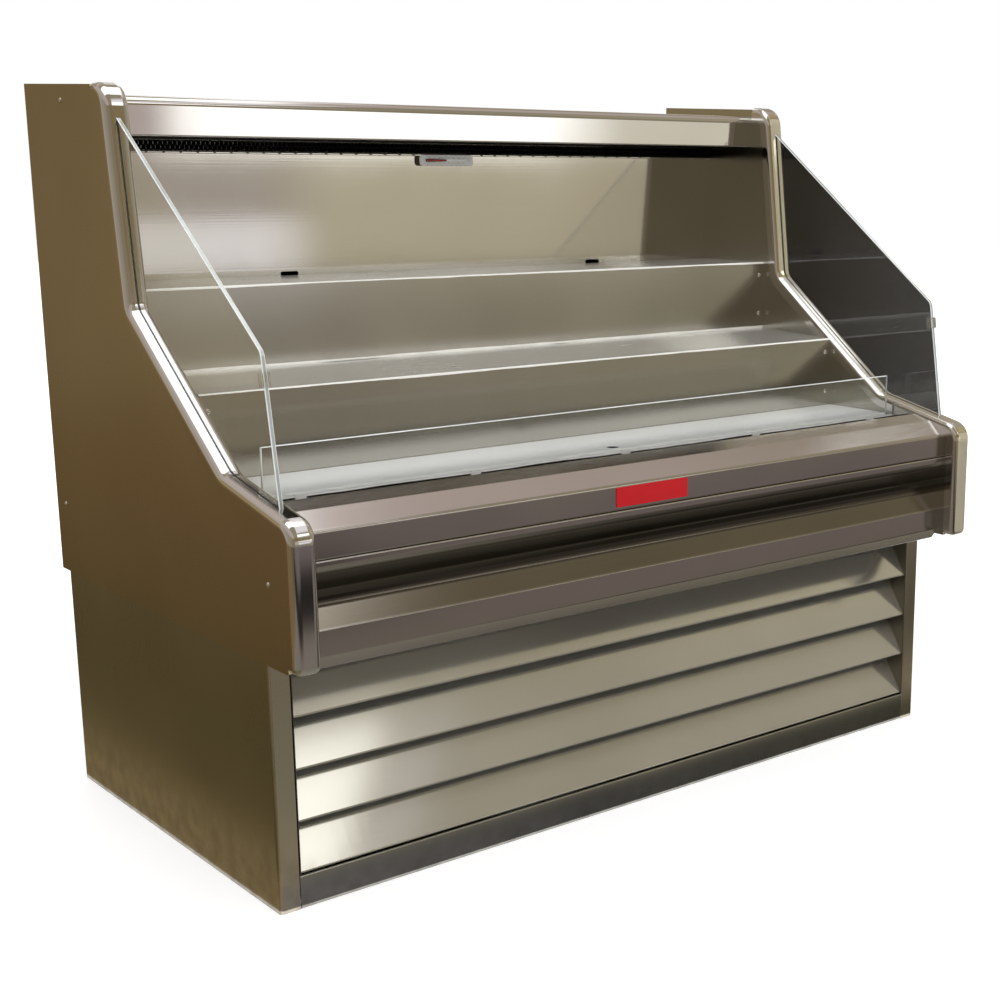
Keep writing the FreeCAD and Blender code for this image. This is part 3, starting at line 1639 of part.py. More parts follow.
def evap_motor(x):
    """Small fan motor on a three-armed bracket fixed round the fan opening."""
    centre = (x, evap_motor_y, evap_fan_z)
    body = motor_body(centre, evap_motor_radius, evap_motor_length, evap_arm)
    arms = []
    ring_radius = evap_orifice_radius + evap_arm * 2
    rear = evap_motor_y + evap_arm
    for turn in (90, 210, 330):
        arm = block((0, ring_radius), (rear, rear + evap_arm), (-evap_arm / 2, evap_arm / 2))
        leg = block((ring_radius - evap_arm, ring_radius), (plenum_y + sheet, rear + evap_arm), (-evap_arm / 2, evap_arm / 2))
        for piece in (arm, leg):
            piece.rotate(vector(0, 0, 0), vector(0, -1, 0), turn)
            piece.translate(vector(x, 0, evap_fan_z))
            arms.append(piece)
    return fuse([body] + arms).cut(shaft_bore(centre))


def evap_fan(x):
    tip = evap_orifice_radius - evap_tip_gap
    centre_y = plenum_y + sheet / 2
    reach = evap_motor_y - centre_y + shaft_grip
    return fan((x, centre_y, evap_fan_z), tip, evap_hub_radius, evap_hub_length, reach)


def evaporator_coil():
    """Wide finned coil on feet in the tank, with return bends at both ends."""
    half = coil_width / 2
    low = liner_floor_z + coil_foot
    top = low + coil_height
    y1 = coil_y + coil_depth
    core = finned_core(
        -half + coil_plate, half - coil_plate, coil_y + coil_plate, y1,
        low, top, coil_fin_pitch, coil_fin_groove,
    )
    plates = [
        block((-half, -half + coil_plate), (coil_y, y1), (liner_floor_z, top)),
        block((half - coil_plate, half), (coil_y, y1), (liner_floor_z, top)),
    ]
    bends = []
    for y in (coil_y + suction_column, coil_y + liquid_column):
        bends += tube_bends(-half, y, low, top, coil_tube_rows, 2, -1)
        bends += tube_bends(half, y, low, top, coil_tube_rows, 1, 1)
    return fuse([core] + plates + bends)


# ======================================================================= assembly
def build():
    os.makedirs("parts", exist_ok=True)
    for name, right in (
        ("end_trim", end_trim()), ("end_skin", end_skin()), ("end_core", end_core()),
        ("end_liner", end_body(inner_x, inner_x + sheet)), ("side_glass", side_glass()),
        ("base_side", base_side()),
    ):
        save(name + "_right", right)
        save(name + "_left", mirrored(right))
    clip = glass_clip()
    save("glass_clips", group([clip, mirrored(clip)]))
    save("panel_screws", group(end_screws() + tier_screws()))
    save("tank_shell", tank_shell())
    save("tank_insulation", tank_insulation())
    save("tank_liner", tank_liner())
    save("drain_outlet", drain_outlet())
    save("back_panel", back_panel())
    save("nose_rail", nose_rail())
    save("front_panel", front_panel())
    save("badge_plate", badge_plate())
    save("lower_deck", lower_deck())
    save("middle_tier", middle_tier())
    save("upper_tier", upper_tier())
    save("rear_duct_panel", rear_duct_panel())
    save("deck_rail", deck_rail())
    save("front_dam", front_dam())
    save("dam_clips", dam_clips())
    save("return_air_grille", return_air_grille())
    save("canopy", canopy())
    save("canopy_insulation", canopy_insulation())
    save("discharge_honeycomb", discharge_honeycomb())
    save("thermometer", thermometer())
    save("base_frame", base_frame())
    save("levelling_feet", levelling_feet())
    save("base_rear_panel", base_rear_panel())
    save("kick_plate", kick_plate())
    save("louvre_blades", louvre_blades())
    save("grille_frame", grille_frame())
    save("unit_tray", unit_tray())
    save("compressor", compressor())
    save("compressor_mounts", compressor_mounts())
    save("condenser_coil", condenser_coil())
    save("condenser_shroud", condenser_shroud())
    save("condenser_motor", condenser_motor())
    save("condenser_fan", condenser_fan())
    save("receiver_tank", receiver_tank())
    save("filter_drier", filter_drier())
    save("refrigerant_pipes", refrigerant_pipes())
    save("expansion_valve", expansion_valve())
    save("condensate_pan", condensate_pan())
    save("control_box", control_box())
    save("thermostat_dial", thermostat_dial())
    save("power_switch", power_switch())
    save("fan_plenum", fan_plenum())
    save("evap_motors", group([evap_motor(x) for x in evap_places]))
    save("evap_fan_left", evap_fan(evap_places[0]))
    save("evap_fan_right", evap_fan(evap_places[1]))
    save("evaporator_coil", evaporator_coil())


build()
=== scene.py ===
import math

import bmesh
import bpy
from mathutils import Matrix, Vector


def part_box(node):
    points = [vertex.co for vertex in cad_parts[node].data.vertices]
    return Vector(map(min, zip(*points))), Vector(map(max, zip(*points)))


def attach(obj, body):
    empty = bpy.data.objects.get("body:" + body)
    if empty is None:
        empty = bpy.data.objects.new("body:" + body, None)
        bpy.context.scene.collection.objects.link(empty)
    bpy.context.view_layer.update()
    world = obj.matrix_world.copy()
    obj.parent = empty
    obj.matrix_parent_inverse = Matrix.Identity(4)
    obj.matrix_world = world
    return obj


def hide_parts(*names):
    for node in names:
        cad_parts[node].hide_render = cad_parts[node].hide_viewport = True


# An open refrigerated display case: a machine base with a louvre grille, an insulated tank with a deck
# and two tiers, end panels with bright edge trim and glass, and a short hood over the air discharge.
# Metres, in the frame's own axes: X to the shopper's right, Y to the rear, Z up.
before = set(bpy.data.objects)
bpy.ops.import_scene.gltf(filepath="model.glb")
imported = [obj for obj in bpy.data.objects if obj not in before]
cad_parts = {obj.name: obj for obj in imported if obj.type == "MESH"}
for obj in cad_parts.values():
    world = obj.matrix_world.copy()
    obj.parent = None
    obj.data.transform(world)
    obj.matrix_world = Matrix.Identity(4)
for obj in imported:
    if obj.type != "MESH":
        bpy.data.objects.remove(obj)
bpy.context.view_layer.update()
scene = bpy.context.scene
scene.view_settings.view_transform = "Standard"


# ------------------------------------ camera
# The photograph was taken from the front left, a little above the hood, and its middle lies off the lens
# axis. The place, turn and lens were solved from the case's corners in the photograph.
eye = Vector((-1.5491, -2.1178, 0.9651))
heading, pitch, roll = math.radians(40.72), math.radians(12.90), math.radians(-0.21)
ahead = Vector((math.sin(heading) * math.cos(pitch), math.cos(heading) * math.cos(pitch), -math.sin(pitch)))
level = Vector((math.cos(heading), -math.sin(heading), 0))
down = ahead.cross(level)
right = level * math.cos(roll) + down * math.sin(roll)
up = level * math.sin(roll) - down * math.cos(roll)


def placed(name, data):
    """An object that holds a mesh, a lens or a light, put in the scene."""
    made = bpy.data.objects.new(name, data)
    scene.collection.objects.link(made)
    return made


lens = bpy.data.cameras.new("photo_camera")
lens.lens, lens.sensor_width = 58.14, 36.0
lens.shift_x, lens.shift_y = -0.1616, 0.0438
lens.clip_end = 60
scene.camera = placed("photo_camera", lens)
scene.camera.matrix_world = Matrix.Translation(eye) @ Matrix((right, up, -ahead)).transposed().to_4x4()


# ------------------------------------ pale floor
# A matt pale floor takes the case's soft shadow; to the eye and in the metal it is as white as the room.
def surface_of(material):
    """A material's node tree and its surface shader."""
    return material.node_tree, material.node_tree.nodes["Principled BSDF"]


def finish_of(name):
    """A new node material: the material, its tree and its surface shader."""
    made = bpy.data.materials.new(name)
    made.use_nodes = True
    return made, *surface_of(made)


def fill(tree, target, socket, value):
    """Sets or links one input, found by its name or its number."""
    if isinstance(value, bpy.types.NodeSocket):
        tree.links.new(value, target.inputs[socket])
    else:
        target.inputs[socket].default_value = value


def wire(tree, target, **sockets):
    """Sets or links several inputs by name; _ stands for a space."""
    for key, value in sockets.items():
        fill(tree, target, key.replace("_", " "), value)


def node(tree, kind, settings=None, **sockets):
    """Adds a node; each socket takes a value or another node's output."""
    made = tree.nodes.new(kind)
    for key, value in (settings or {}).items():
        setattr(made, key, value)
    wire(tree, made, **sockets)
    return made


def maths(tree, operation, first, second=0.0, clamp=False):
    """One sum on numbers; gives its result."""
    made = node(tree, "ShaderNodeMath", {"operation": operation, "use_clamp": clamp})
    fill(tree, made, 0, first)
    fill(tree, made, 1, second)
    return made.outputs[0]


def on_vectors(tree, operation, first, second=(0, 0, 0)):
    """One sum on vectors; gives the node's outputs."""
    made = node(tree, "ShaderNodeVectorMath", {"operation": operation})
    fill(tree, made, 0, first)
    fill(tree, made, 1, second)
    return made.outputs


def spot_of(tree, space="Object"):
    """The place on the object, or with Normal the way that its face looks."""
    return node(tree, "ShaderNodeTexCoord").outputs[space]


def ranged(tree, value, to_low, to_high, low=0.0, high=1.0):
    """Carries a value from one range (low, high) over to another."""
    return node(tree, "ShaderNodeMapRange", Value=value, From_Min=low, From_Max=high, To_Min=to_low,
                To_Max=to_high).outputs["Result"]


def noise(tree, spot, scale, detail, bend=0.0):
    """Cloudy noise at a place."""
    return node(tree, "ShaderNodeTexNoise", Vector=spot, Scale=scale, Detail=detail, Distortion=bend).outputs["Fac"]


def quad(name, corners, material):
    """A flat sheet with four corners, for the staging."""
    mesh = bpy.data.meshes.new(name)
    mesh.from_pydata([tuple(c) for c in corners], [], [(0, 1, 2, 3)])
    mesh.materials.append(material)
    return placed(name, mesh)


def seen_plainly(tree):
    """1 where the eye, glass or metal looks at a surface, and 0 where it lights the case."""
    path = node(tree, "ShaderNodeLightPath").outputs
    through = maths(tree, "MAXIMUM", path["Is Camera Ray"], path["Is Transmission Ray"])
    return maths(tree, "MAXIMUM", through, path["Is Glossy Ray"])


floor_paint, tree, shader = finish_of("floor_paint")
spot = spot_of(tree)
glow = ranged(tree, on_vectors(tree, "LENGTH", spot)["Value"], 0.5, 1.0, 1.0, 3.5)
wire(tree, shader, Base_Color=ranged(tree, noise(tree, spot, 3.0, 4.0), 0.72, 0.76), Roughness=0.85,
     Specular_IOR_Level=0.1, Emission_Color=(1, 1, 1, 1),
     Emission_Strength=maths(tree, "MULTIPLY", seen_plainly(tree), glow))
reach = 16.0
floor = quad("floor", [(-reach, -reach, 0), (reach, -reach, 0), (reach, reach, 0), (-reach, reach, 0)], floor_paint)


# ------------------------------------ studio room and lamps
# The room is white to the eye. Soft lamps light the case, and tinted screens, which only the metal
# mirrors, stand for the warm dim shop in which such a case is seen.
world = bpy.data.worlds.new("studio")
world.use_nodes = True
scene.world = world
sky = world.node_tree
wire(sky, sky.nodes["Background"], Color=(1, 1, 1, 1), Strength=ranged(sky, seen_plainly(sky), 0.5, 1.0))


def lamp(name, place, width, height, watts):
    """A soft lamp turned to the middle of the case."""
    light = bpy.data.lights.new(name, "AREA")
    light.shape, light.size, light.size_y, light.energy = "RECTANGLE", width, height, watts
    made = placed(name, light)
    made.location = place
    made.rotation_euler = (Vector((0, 0, 0.5)) - Vector(place)).to_track_quat("-Z", "Y").to_euler()
    made.visible_camera = made.visible_glossy = False


lamp("soft_lamp_front", (-1.2, -2.2, 3.6), 2.2, 2.2, 72)
lamp("soft_lamp_right", (3.2, -2.2, 2.6), 2.0, 2.0, 34)
lamp("soft_lamp_rear", (0.3, 2.6, 3.4), 2.6, 2.0, 40)


def screen(name, corner, along, across, stops, after_mirror=True):
    """A flat screen whose colour runs along its first side through stops (metres from the corner, colour).

    Only a ray that has left the metal sees it, also through glass; without after_mirror it is the other way
    round, and it is seen through glass alone.
    """
    paint = bpy.data.materials.new(name)
    paint.use_nodes = True
    made = paint.node_tree
    made.nodes.clear()
    start, side, rise = Vector(corner), Vector(along), Vector(across)
    shift = on_vectors(made, "SUBTRACT", spot_of(made), start)["Vector"]
    share = on_vectors(made, "DOT_PRODUCT", shift, side / side.length_squared)["Value"]
    run_of = node(made, "ShaderNodeValToRGB", Fac=share)
    while len(run_of.color_ramp.elements) < len(stops):
        run_of.color_ramp.elements.new(1.0)
    for element, (run, colour) in zip(run_of.color_ramp.elements, stops):
        element.position, element.color = run / side.length, (*colour, 1)
    glow = node(made, "ShaderNodeEmission", Color=run_of.outputs["Color"]).outputs[0]
    mirrored = maths(made, "GREATER_THAN", node(made, "ShaderNodeLightPath").outputs["Glossy Depth"], 0.5)
    gone = node(made, "ShaderNodeBsdfTransparent").outputs[0]
    shown = node(made, "ShaderNodeMixShader", Fac=mirrored)
    fill(made, shown, 1, gone if after_mirror else glow)
    fill(made, shown, 2, glow if after_mirror else gone)
    node(made, "ShaderNodeOutputMaterial", Surface=shown.outputs[0])
    sheet = quad(name, [start, start + side, start + side + rise, start + rise], paint)
    for ray in ("camera", "diffuse", "glossy", "transmission", "volume_scatter", "shadow"):
        setattr(sheet, "visible_" + ray, ray in ("glossy", "transmission"))


plum, dusk, slate = (0.20, 0.167, 0.162), (0.006, 0.005, 0.004), (0.09, 0.083, 0.066)
stone, moss, clay = (0.24, 0.205, 0.175), (0.34, 0.30, 0.23), (0.35, 0.31, 0.22)
sand, oat, bark, umber = (0.56, 0.50, 0.45), (0.73, 0.67, 0.51), (0.40, 0.35, 0.25), (0.24, 0.20, 0.13)
lilac, white, cream, blush = (1.3, 1.28, 1.32), (2.0, 2.0, 1.95), (0.92, 0.88, 0.74), (0.62, 0.54, 0.50)
tan, rose, ochre, pearl = (0.45, 0.39, 0.31), (0.62, 0.53, 0.48), (0.42, 0.36, 0.27), (1.05, 1.0, 1.02)
dune = (0.62, 0.56, 0.43)
mat_z, west, south, north, roof = 0.004, -2.0, -5.0, 4.8, 3.0
far_west, eastwards, from_far_west = -5.2, (8.5, 0, 0), (3.2, 0, 0)
for name, y0, y1, stops in (
    ("mat_kick", -0.36, -0.284,
     [(1.3, (0.26, 0.25, 0.25)), (1.9, (0.12, 0.115, 0.11)), (2.6, (0.09, 0.085, 0.065))]),
    ("mat_foot", -0.52, -0.36, [(0, (0.30, 0.27, 0.21)), (8, (0.30, 0.27, 0.21))]),
    ("mat_near", -1.25, -0.52, [(1.3, (0.26, 0.25, 0.21)), (1.9, (0.22, 0.21, 0.17)), (2.4, slate), (8, slate)]),
    ("mat_middle", -1.68, -1.25, [(0, stone), (8, stone)]),
    ("mat_dark", -2.20, -1.68, [(0, dusk), (2.38, dusk), (2.5, plum), (8, plum)]),
    ("mat_far", -2.90, -2.20, [(0, plum), (8, plum)]),
    ("mat_end", south, -2.90, [(3.7, moss), (6, (0.44, 0.40, 0.29))]),
):
    screen(name, (west, y0, mat_z), eastwards, (0, y1 - y0, 0), stops)
for name, z0, z1, stops in (
    ("wall_low", 0.0, 0.47, [(3.8, (0.27, 0.24, 0.185)), (5.0, moss), (7.5, moss)]),
    ("wall_patch", 0.47, 0.74,
     [(3.5, sand), (3.6, lilac), (4.4, lilac), (4.7, oat), (6.0, oat), (7.0, dune), (7.3, bark), (8, bark)]),
    ("wall_middle", 0.74, 1.06, [(4.3, sand), (4.8, oat), (6.0, oat), (7.0, dune), (7.3, bark), (8, bark)]),
    ("wall_bright", 1.06, 1.46, [(3.7, blush), (3.9, white), (6.0, white), (6.5, cream), (7.2, cream)]),
    ("wall_high", 1.46, roof, [(3.5, (0.27, 0.20, 0.10)), (5, clay)]),
):
    screen(name, (west, south, z0), eastwards, (0, 0, z1 - z0), stops)
for name, y0, y1, stops in (
    ("roof_front", south, -3.2,
     [(2.9, clay), (3.0, white), (3.75, white), (3.85, clay), (4.05, (0.7, 0.68, 0.66)), (4.2, clay)]),
    ("roof_middle", -3.2, -0.8, [(2.5, clay), (2.6, pearl), (3.0, pearl), (3.1, clay), (6.2, (0.55, 0.50, 0.36))]),
    ("roof_over", -0.8, 0.5, [(2.6, white), (2.8, rose), (4.2, rose), (5.0, tan)]),
    ("roof_streak", 0.5, 0.7, [(2.6, white), (2.8, (0.78, 0.68, 0.64)), (5.2, tan)]),
    ("roof_rear", 0.7, 1.6, [(2.5, ochre), (2.6, pearl), (3.0, pearl), (3.1, ochre)]),
    ("roof_back", 1.6, 2.0, [(2.5, rose), (2.6, pearl), (3.0, pearl), (3.1, rose), (5, tan)]),
    ("roof_nose", 2.0, 2.6, [(2.5, rose), (2.6, white), (3.2, white), (3.3, rose), (5, tan)]),
    ("roof_end", 2.6, 3.4, [(3.2, ochre), (3.3, white), (3.9, white), (4.0, ochre)]),
    ("roof_last", 3.4, north, [(3.2, ochre), (3.4, white), (3.7, white), (3.8, ochre)]),
):
    screen(name, (west, y0, roof), eastwards, (0, y1 - y0, 0), stops)
screen("roof_lamp", (4.85 + west, 0.14, roof - 0.01), (0.45, 0, 0), (0, 0.28, 0), [(0, white), (0.45, white)])
screen("right_wall", (6.5, south, 0), (0, north - south, 0), (0, 0, roof), [(0, bark), (4, tan), (9, rose)])
screen("south_west", (far_west, south, 0), from_far_west, (0, 0, roof),
       [(0, (0.26, 0.22, 0.15)), (3.2, (0.30, 0.26, 0.2))])
screen("west_wall", (far_west, south, 0), (0, north - south, 0), (0, 0, roof),
       [(0, (0.30, 0.25, 0.17)), (9.8, (0.48, 0.43, 0.37))])
screen("west_mat", (far_west, south, mat_z), from_far_west, (0, 3.8, 0), [(0, umber), (3.2, (0.14, 0.11, 0.06))])
screen("west_roof", (far_west, south, roof), from_far_west, (0, 9.8, 0), [(0, (0.45, 0.41, 0.36)), (3.2, rose)])
screen("left_mat_foot", (-0.638, -1.2, mat_z), (-0.1, 0, 0), (0, 6, 0),
       [(0, (0.34, 0.26, 0.14)), (0.1, (0.3, 0.23, 0.12))])
screen("left_mat_dark", (-0.738, -1.2, mat_z), (-0.5, 0, 0), (0, 6, 0),
       [(0, (0.13, 0.10, 0.045)), (0.5, (0.13, 0.10, 0.045))])
screen("left_mat_far", (-1.238, -1.2, mat_z), (-4, 0, 0), (0, 6, 0),
       [(0, (0.19, 0.13, 0.063)), (2, (0.24, 0.17, 0.085))])
screen("left_wall", (far_west, north, 0), (4.6, 0, 0), (0, 0, roof),
       [(0, (0.40, 0.31, 0.17)), (2.2, (0.37, 0.29, 0.16)), (3.1, (0.22, 0.17, 0.09))])
screen("shop_beyond", (2.35, 2.38, 0.002), (0.95, -0.79, 0), (0, 0, 1.3),
       [(0, (0.006, 0.005, 0.004)), (0.5, (0.012, 0.010, 0.009)), (1.2, (0.06, 0.058, 0.055))], False)


# ------------------------------------ base frame and feet
# The base is a welded frame of rolled steel angle, painted dark grey, on four threaded levelling feet.
# Its paint is thin, so the rolled skin of the angle shows through as small pits.
def shader_group(name, inlets, outlets):
    """An empty shader group with named inputs (name, kind) and float outputs."""
    made = bpy.data.node_groups.new(name, "ShaderNodeTree")
    for label, kind in inlets:
        made.interface.new_socket(label, in_out="INPUT", socket_type="NodeSocket" + kind)
    for label in outlets:
        made.interface.new_socket(label, in_out="OUTPUT", socket_type="NodeSocketFloat")
    return made, made.nodes.new("NodeGroupInput").outputs, made.nodes.new("NodeGroupOutput")


def parts_of(tree, vector):
    """A vector's X, Y and Z outputs."""
    return node(tree, "ShaderNodeSeparateXYZ", Vector=vector).outputs


def rolled_grain():
    """Long grain of rolled and brushed metal: tone, roughness and height along one direction."""
    made, given, result = shader_group("rolled_grain", (("Place", "Vector"), ("Grain", "Vector"),
                                                        ("Patch", "Float")), ("Tone", "Roughness", "Height"))
    lines = noise(made, on_vectors(made, "MULTIPLY", given["Place"], given["Grain"])["Vector"], 1.0, 3.0)
    smear = ranged(made, noise(made, given["Place"], given["Patch"], 2.0), 0.0, 1.0, 0.3, 0.7)
    both = node(made, "ShaderNodeMix", Factor=0.35, A=smear, B=lines).outputs["Result"]
    wire(made, result, Tone=both, Roughness=both, Height=lines)
    return made


def wiped_marks():
    """Hand smears and wipe marks left on polished sheet, as one mask."""
    made, given, result = shader_group("wiped_marks", (("Place", "Vector"), ("Size", "Float")), ("Mark",))
    smear = ranged(made, noise(made, given["Place"], given["Size"], 2.0, 0.5), 0.0, 1.0, 0.45, 0.8)
    fine = noise(made, given["Place"], maths(made, "MULTIPLY", given["Size"], 9.0), 2.0)
    fill(made, result, "Mark", maths(made, "MULTIPLY", smear, fine))
    return made


def floor_dust():
    """Dust and mop splashes that thin out with height above the floor, as one mask."""
    made, given, result = shader_group("floor_dust", (("Place", "Vector"), ("Reach", "Float")), ("Dust",))
    height = parts_of(made, given["Place"])["Z"]
    fade = maths(made, "SUBTRACT", 1.0, maths(made, "DIVIDE", height, given["Reach"], True), True)
    spots = ranged(made, noise(made, given["Place"], 38.0, 4.0), 0.0, 1.0, 0.35, 0.65)
    fill(made, result, "Dust", maths(made, "MULTIPLY", fade, spots))
    return made


grain_group, marks_group, dust_group = rolled_grain(), wiped_marks(), floor_dust()


def mixed(tree, share, first, second, blend="MIX"):
    """Mixes or multiplies two colours, each an output or a plain colour."""
    made = node(tree, "ShaderNodeMix", {"data_type": "RGBA", "blend_type": blend})
    for socket, value in ((0, share), (6, first), (7, second)):
        fill(tree, made, socket, (*value, 1) if isinstance(value, tuple) else value)
    return made.outputs[2]


def metal(name, dark, light, grain, smooth, dull, bump=0.01, patch=3.0, metallic=1.0, marks=0.0, dust=0.0):
    """Sheet or cast finish: tone and polish drift in patches and along the grain, with marks and dust."""
    mark_size, soiling, soil_dulls, soil_colour = 5.0, 0.3, 0.12, (0.10, 0.09, 0.07)
    made, tree, shader = finish_of(name)
    spot = spot_of(tree)
    skin = node(tree, "ShaderNodeGroup", {"node_tree": grain_group}, Place=spot, Grain=grain, Patch=patch).outputs
    tone, sheen = mixed(tree, skin["Tone"], dark, light), ranged(tree, skin["Roughness"], smooth, dull)
    if marks:
        mark = node(tree, "ShaderNodeGroup", {"node_tree": marks_group}, Place=spot, Size=mark_size).outputs["Mark"]
        sheen = maths(tree, "ADD", sheen, maths(tree, "MULTIPLY", mark, marks))
    if dust:
        soil = node(tree, "ShaderNodeGroup", {"node_tree": dust_group}, Place=spot, Reach=dust).outputs["Dust"]
        tone = mixed(tree, maths(tree, "MULTIPLY", soil, soiling), tone, soil_colour)
        sheen = maths(tree, "ADD", sheen, maths(tree, "MULTIPLY", soil, soil_dulls))
    relief = node(tree, "ShaderNodeBump", Height=skin["Height"], Strength=bump, Distance=0.001).outputs["Normal"]
    wire(tree, shader, Base_Color=tone, Roughness=sheen, Normal=relief, Metallic=metallic)
    return made


def dress(material, *names):
    """Gives CAD nodes one material."""
    for name in names:
        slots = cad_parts[name].data.materials
        slots.clear()
        slots.append(material)


dress(metal("frame_paint", (0.05, 0.052, 0.055), (0.09, 0.092, 0.095), (60, 60, 60), 0.42, 0.6, 0.15,
            metallic=0.0, dust=0.2), "base_frame")
dress(metal("foot_zinc", (0.45, 0.46, 0.47), (0.60, 0.61, 0.62), (90, 90, 400), 0.3, 0.45), "levelling_feet")


# ------------------------------------ tray, compressor and lines
# A galvanised tray holds the cooling unit: a black hermetic compressor on rubber mounts, the finned
# condenser in its shroud with a fan, the receiver, the drier, the copper lines and the drain pan.
def spangled(name, dark, light):
    """Zinc-dipped sheet with its angular crystal spangle."""
    made, tree, shader = finish_of(name)
    spot = spot_of(tree)
    crystal = node(tree, "ShaderNodeTexVoronoi", Vector=spot, Scale=70.0).outputs
    spread = node(tree, "ShaderNodeSeparateColor", Color=crystal["Color"]).outputs["Red"]
    blend = maths(tree, "ADD", maths(tree, "MULTIPLY", spread, 0.5),
                  maths(tree, "MULTIPLY", noise(tree, spot, 4.0, 3.0), 0.5))
    relief = node(tree, "ShaderNodeBump", Height=crystal["Distance"], Strength=0.06, Distance=0.001)
    wire(tree, shader, Base_Color=mixed(tree, blend, dark, light), Roughness=ranged(tree, spread, 0.32, 0.5),
         Normal=relief.outputs["Normal"], Metallic=0.9)
    return made


galvanised = spangled("galvanised_sheet", (0.40, 0.42, 0.43), (0.62, 0.64, 0.65))
dress(galvanised, "unit_tray", "condenser_shroud", "condensate_pan", "tank_shell", "back_panel", "base_rear_panel")
black_enamel = metal("black_enamel", (0.018, 0.018, 0.02), (0.035, 0.035, 0.038), (45, 45, 45), 0.25, 0.4, 0.08,
                     metallic=0.0, dust=0.3)
dress(black_enamel, "compressor", "receiver_tank", "condenser_motor", "evap_motors")
rubber = metal("mount_rubber", (0.03, 0.03, 0.03), (0.05, 0.05, 0.05), (300, 300, 300), 0.7, 0.85, 0.1, metallic=0.0)
dress(rubber, "compressor_mounts")
copper = metal("drawn_copper", (0.62, 0.30, 0.18), (0.78, 0.44, 0.28), (12, 12, 12), 0.28, 0.5, 0.02, 16.0)
dress(copper, "refrigerant_pipes", "filter_drier")
brass = metal("valve_brass", (0.60, 0.44, 0.20), (0.72, 0.56, 0.28), (30, 30, 30), 0.25, 0.42, 0.03, 30.0)
dress(brass, "expansion_valve")
fin_metal = metal("fin_aluminium", (0.62, 0.63, 0.64), (0.76, 0.77, 0.78), (30, 300, 30), 0.3, 0.45)
dress(fin_metal, "condenser_coil", "evaporator_coil", "condenser_fan")
moulded_black = metal("moulded_black", (0.02, 0.02, 0.021), (0.032, 0.032, 0.034), (500, 500, 500), 0.5, 0.68, 0.2,
                      metallic=0.0)
dress(moulded_black, "evap_fan_left", "evap_fan_right", "return_air_grille", "power_switch")
drain_plastic = metal("drain_plastic", (0.62, 0.62, 0.60), (0.72, 0.72, 0.70), (200, 200, 200), 0.45, 0.6, 0.05,
                      metallic=0.0)
dress(drain_plastic, "drain_outlet")


# ------------------------------------ control box and dial
# A folded box painted grey, with a moulded dial and a rocker switch on its front. The dial's pointer is
# a line of white paint on its face.
box_paint = metal("box_paint", (0.36, 0.37, 0.38), (0.43, 0.44, 0.45), (400, 400, 400), 0.4, 0.55, 0.1, metallic=0.0)
dress(box_paint, "control_box")


def recolour(tree, shader, share, colour, blend="MIX"):
    """Mixes a colour over the one that a finish has, or multiplies the two."""
    under = shader.inputs["Base Color"].links[0].from_socket
    fill(tree, shader, "Base Color", mixed(tree, share, under, colour, blend))


def pointer_plastic(centre_x, centre_z):
    """Black moulding with a painted line from near its middle to its rim."""
    half_width, inner_end = 0.0009, 0.005
    made = metal("dial_plastic", (0.02, 0.02, 0.021), (0.032, 0.032, 0.034), (500, 500, 500), 0.4, 0.55, 0.15,
                 metallic=0.0)
    tree, shader = surface_of(made)
    place = parts_of(tree, spot_of(tree))
    aside = maths(tree, "ABSOLUTE", maths(tree, "SUBTRACT", place["X"], centre_x))
    line = maths(tree, "MULTIPLY", maths(tree, "LESS_THAN", aside, half_width),
                 maths(tree, "GREATER_THAN", place["Z"], centre_z + inner_end))
    recolour(tree, shader, line, (0.7, 0.7, 0.68))
    return made


dress(pointer_plastic(-0.520, 0.150), "thermostat_dial")


# ------------------------------------ insulation
# Foamed polyurethane between the sheets. In the end panels its top lies flush with the sheets' edges and
# nothing in the CAD covers it; the folds among the end panels' pieces do.
foam = metal("cut_foam", (0.62, 0.50, 0.26), (0.74, 0.62, 0.36), (220, 220, 220), 0.8, 0.95, 0.5, metallic=0.0)
dress(foam, "tank_insulation", "end_core_left", "end_core_right", "canopy_insulation")


# ------------------------------------ tank, deck and tiers
# Brushed stainless sheet, folded and screwed. The grain runs along the case. The deck is painted near white and
# almost without metal, as painted light, and the treads are less metallic; so they stay pale where the wall turns
# dark.
lengthwise = (3, 400, 400)
tank_steel = metal("tank_steel", (0.46, 0.45, 0.41), (0.54, 0.53, 0.49), lengthwise, 0.14, 0.22, marks=0.05)
dress(tank_steel, "tank_liner", "fan_plenum", "end_liner_left", "end_liner_right")


def looks_forwards(tree, least):
    """1 on the faces that look forwards; only those straight ahead when least is near 1."""
    return maths(tree, "LESS_THAN", parts_of(tree, spot_of(tree, "Normal"))["Y"], -least)


def front_faces_painted_light_and_shade(base, tone, rough, others=None):
    """Paints the faces that look forwards lighter or darker, as painted light and shade, by multiplying their tone
    and shifting their roughness; others dulls the rest.
    """
    tree, shader = surface_of(base)
    turned = looks_forwards(tree, 0.7)
    recolour(tree, shader, turned, tone, "MULTIPLY")
    held = shader.inputs["Roughness"].links[0].from_socket
    fill(tree, shader, "Roughness", maths(tree, "ADD", held, maths(tree, "MULTIPLY", turned, rough)))
    if others is not None:
        fill(tree, shader, "Metallic", ranged(tree, turned, others, 1.0))
    return base


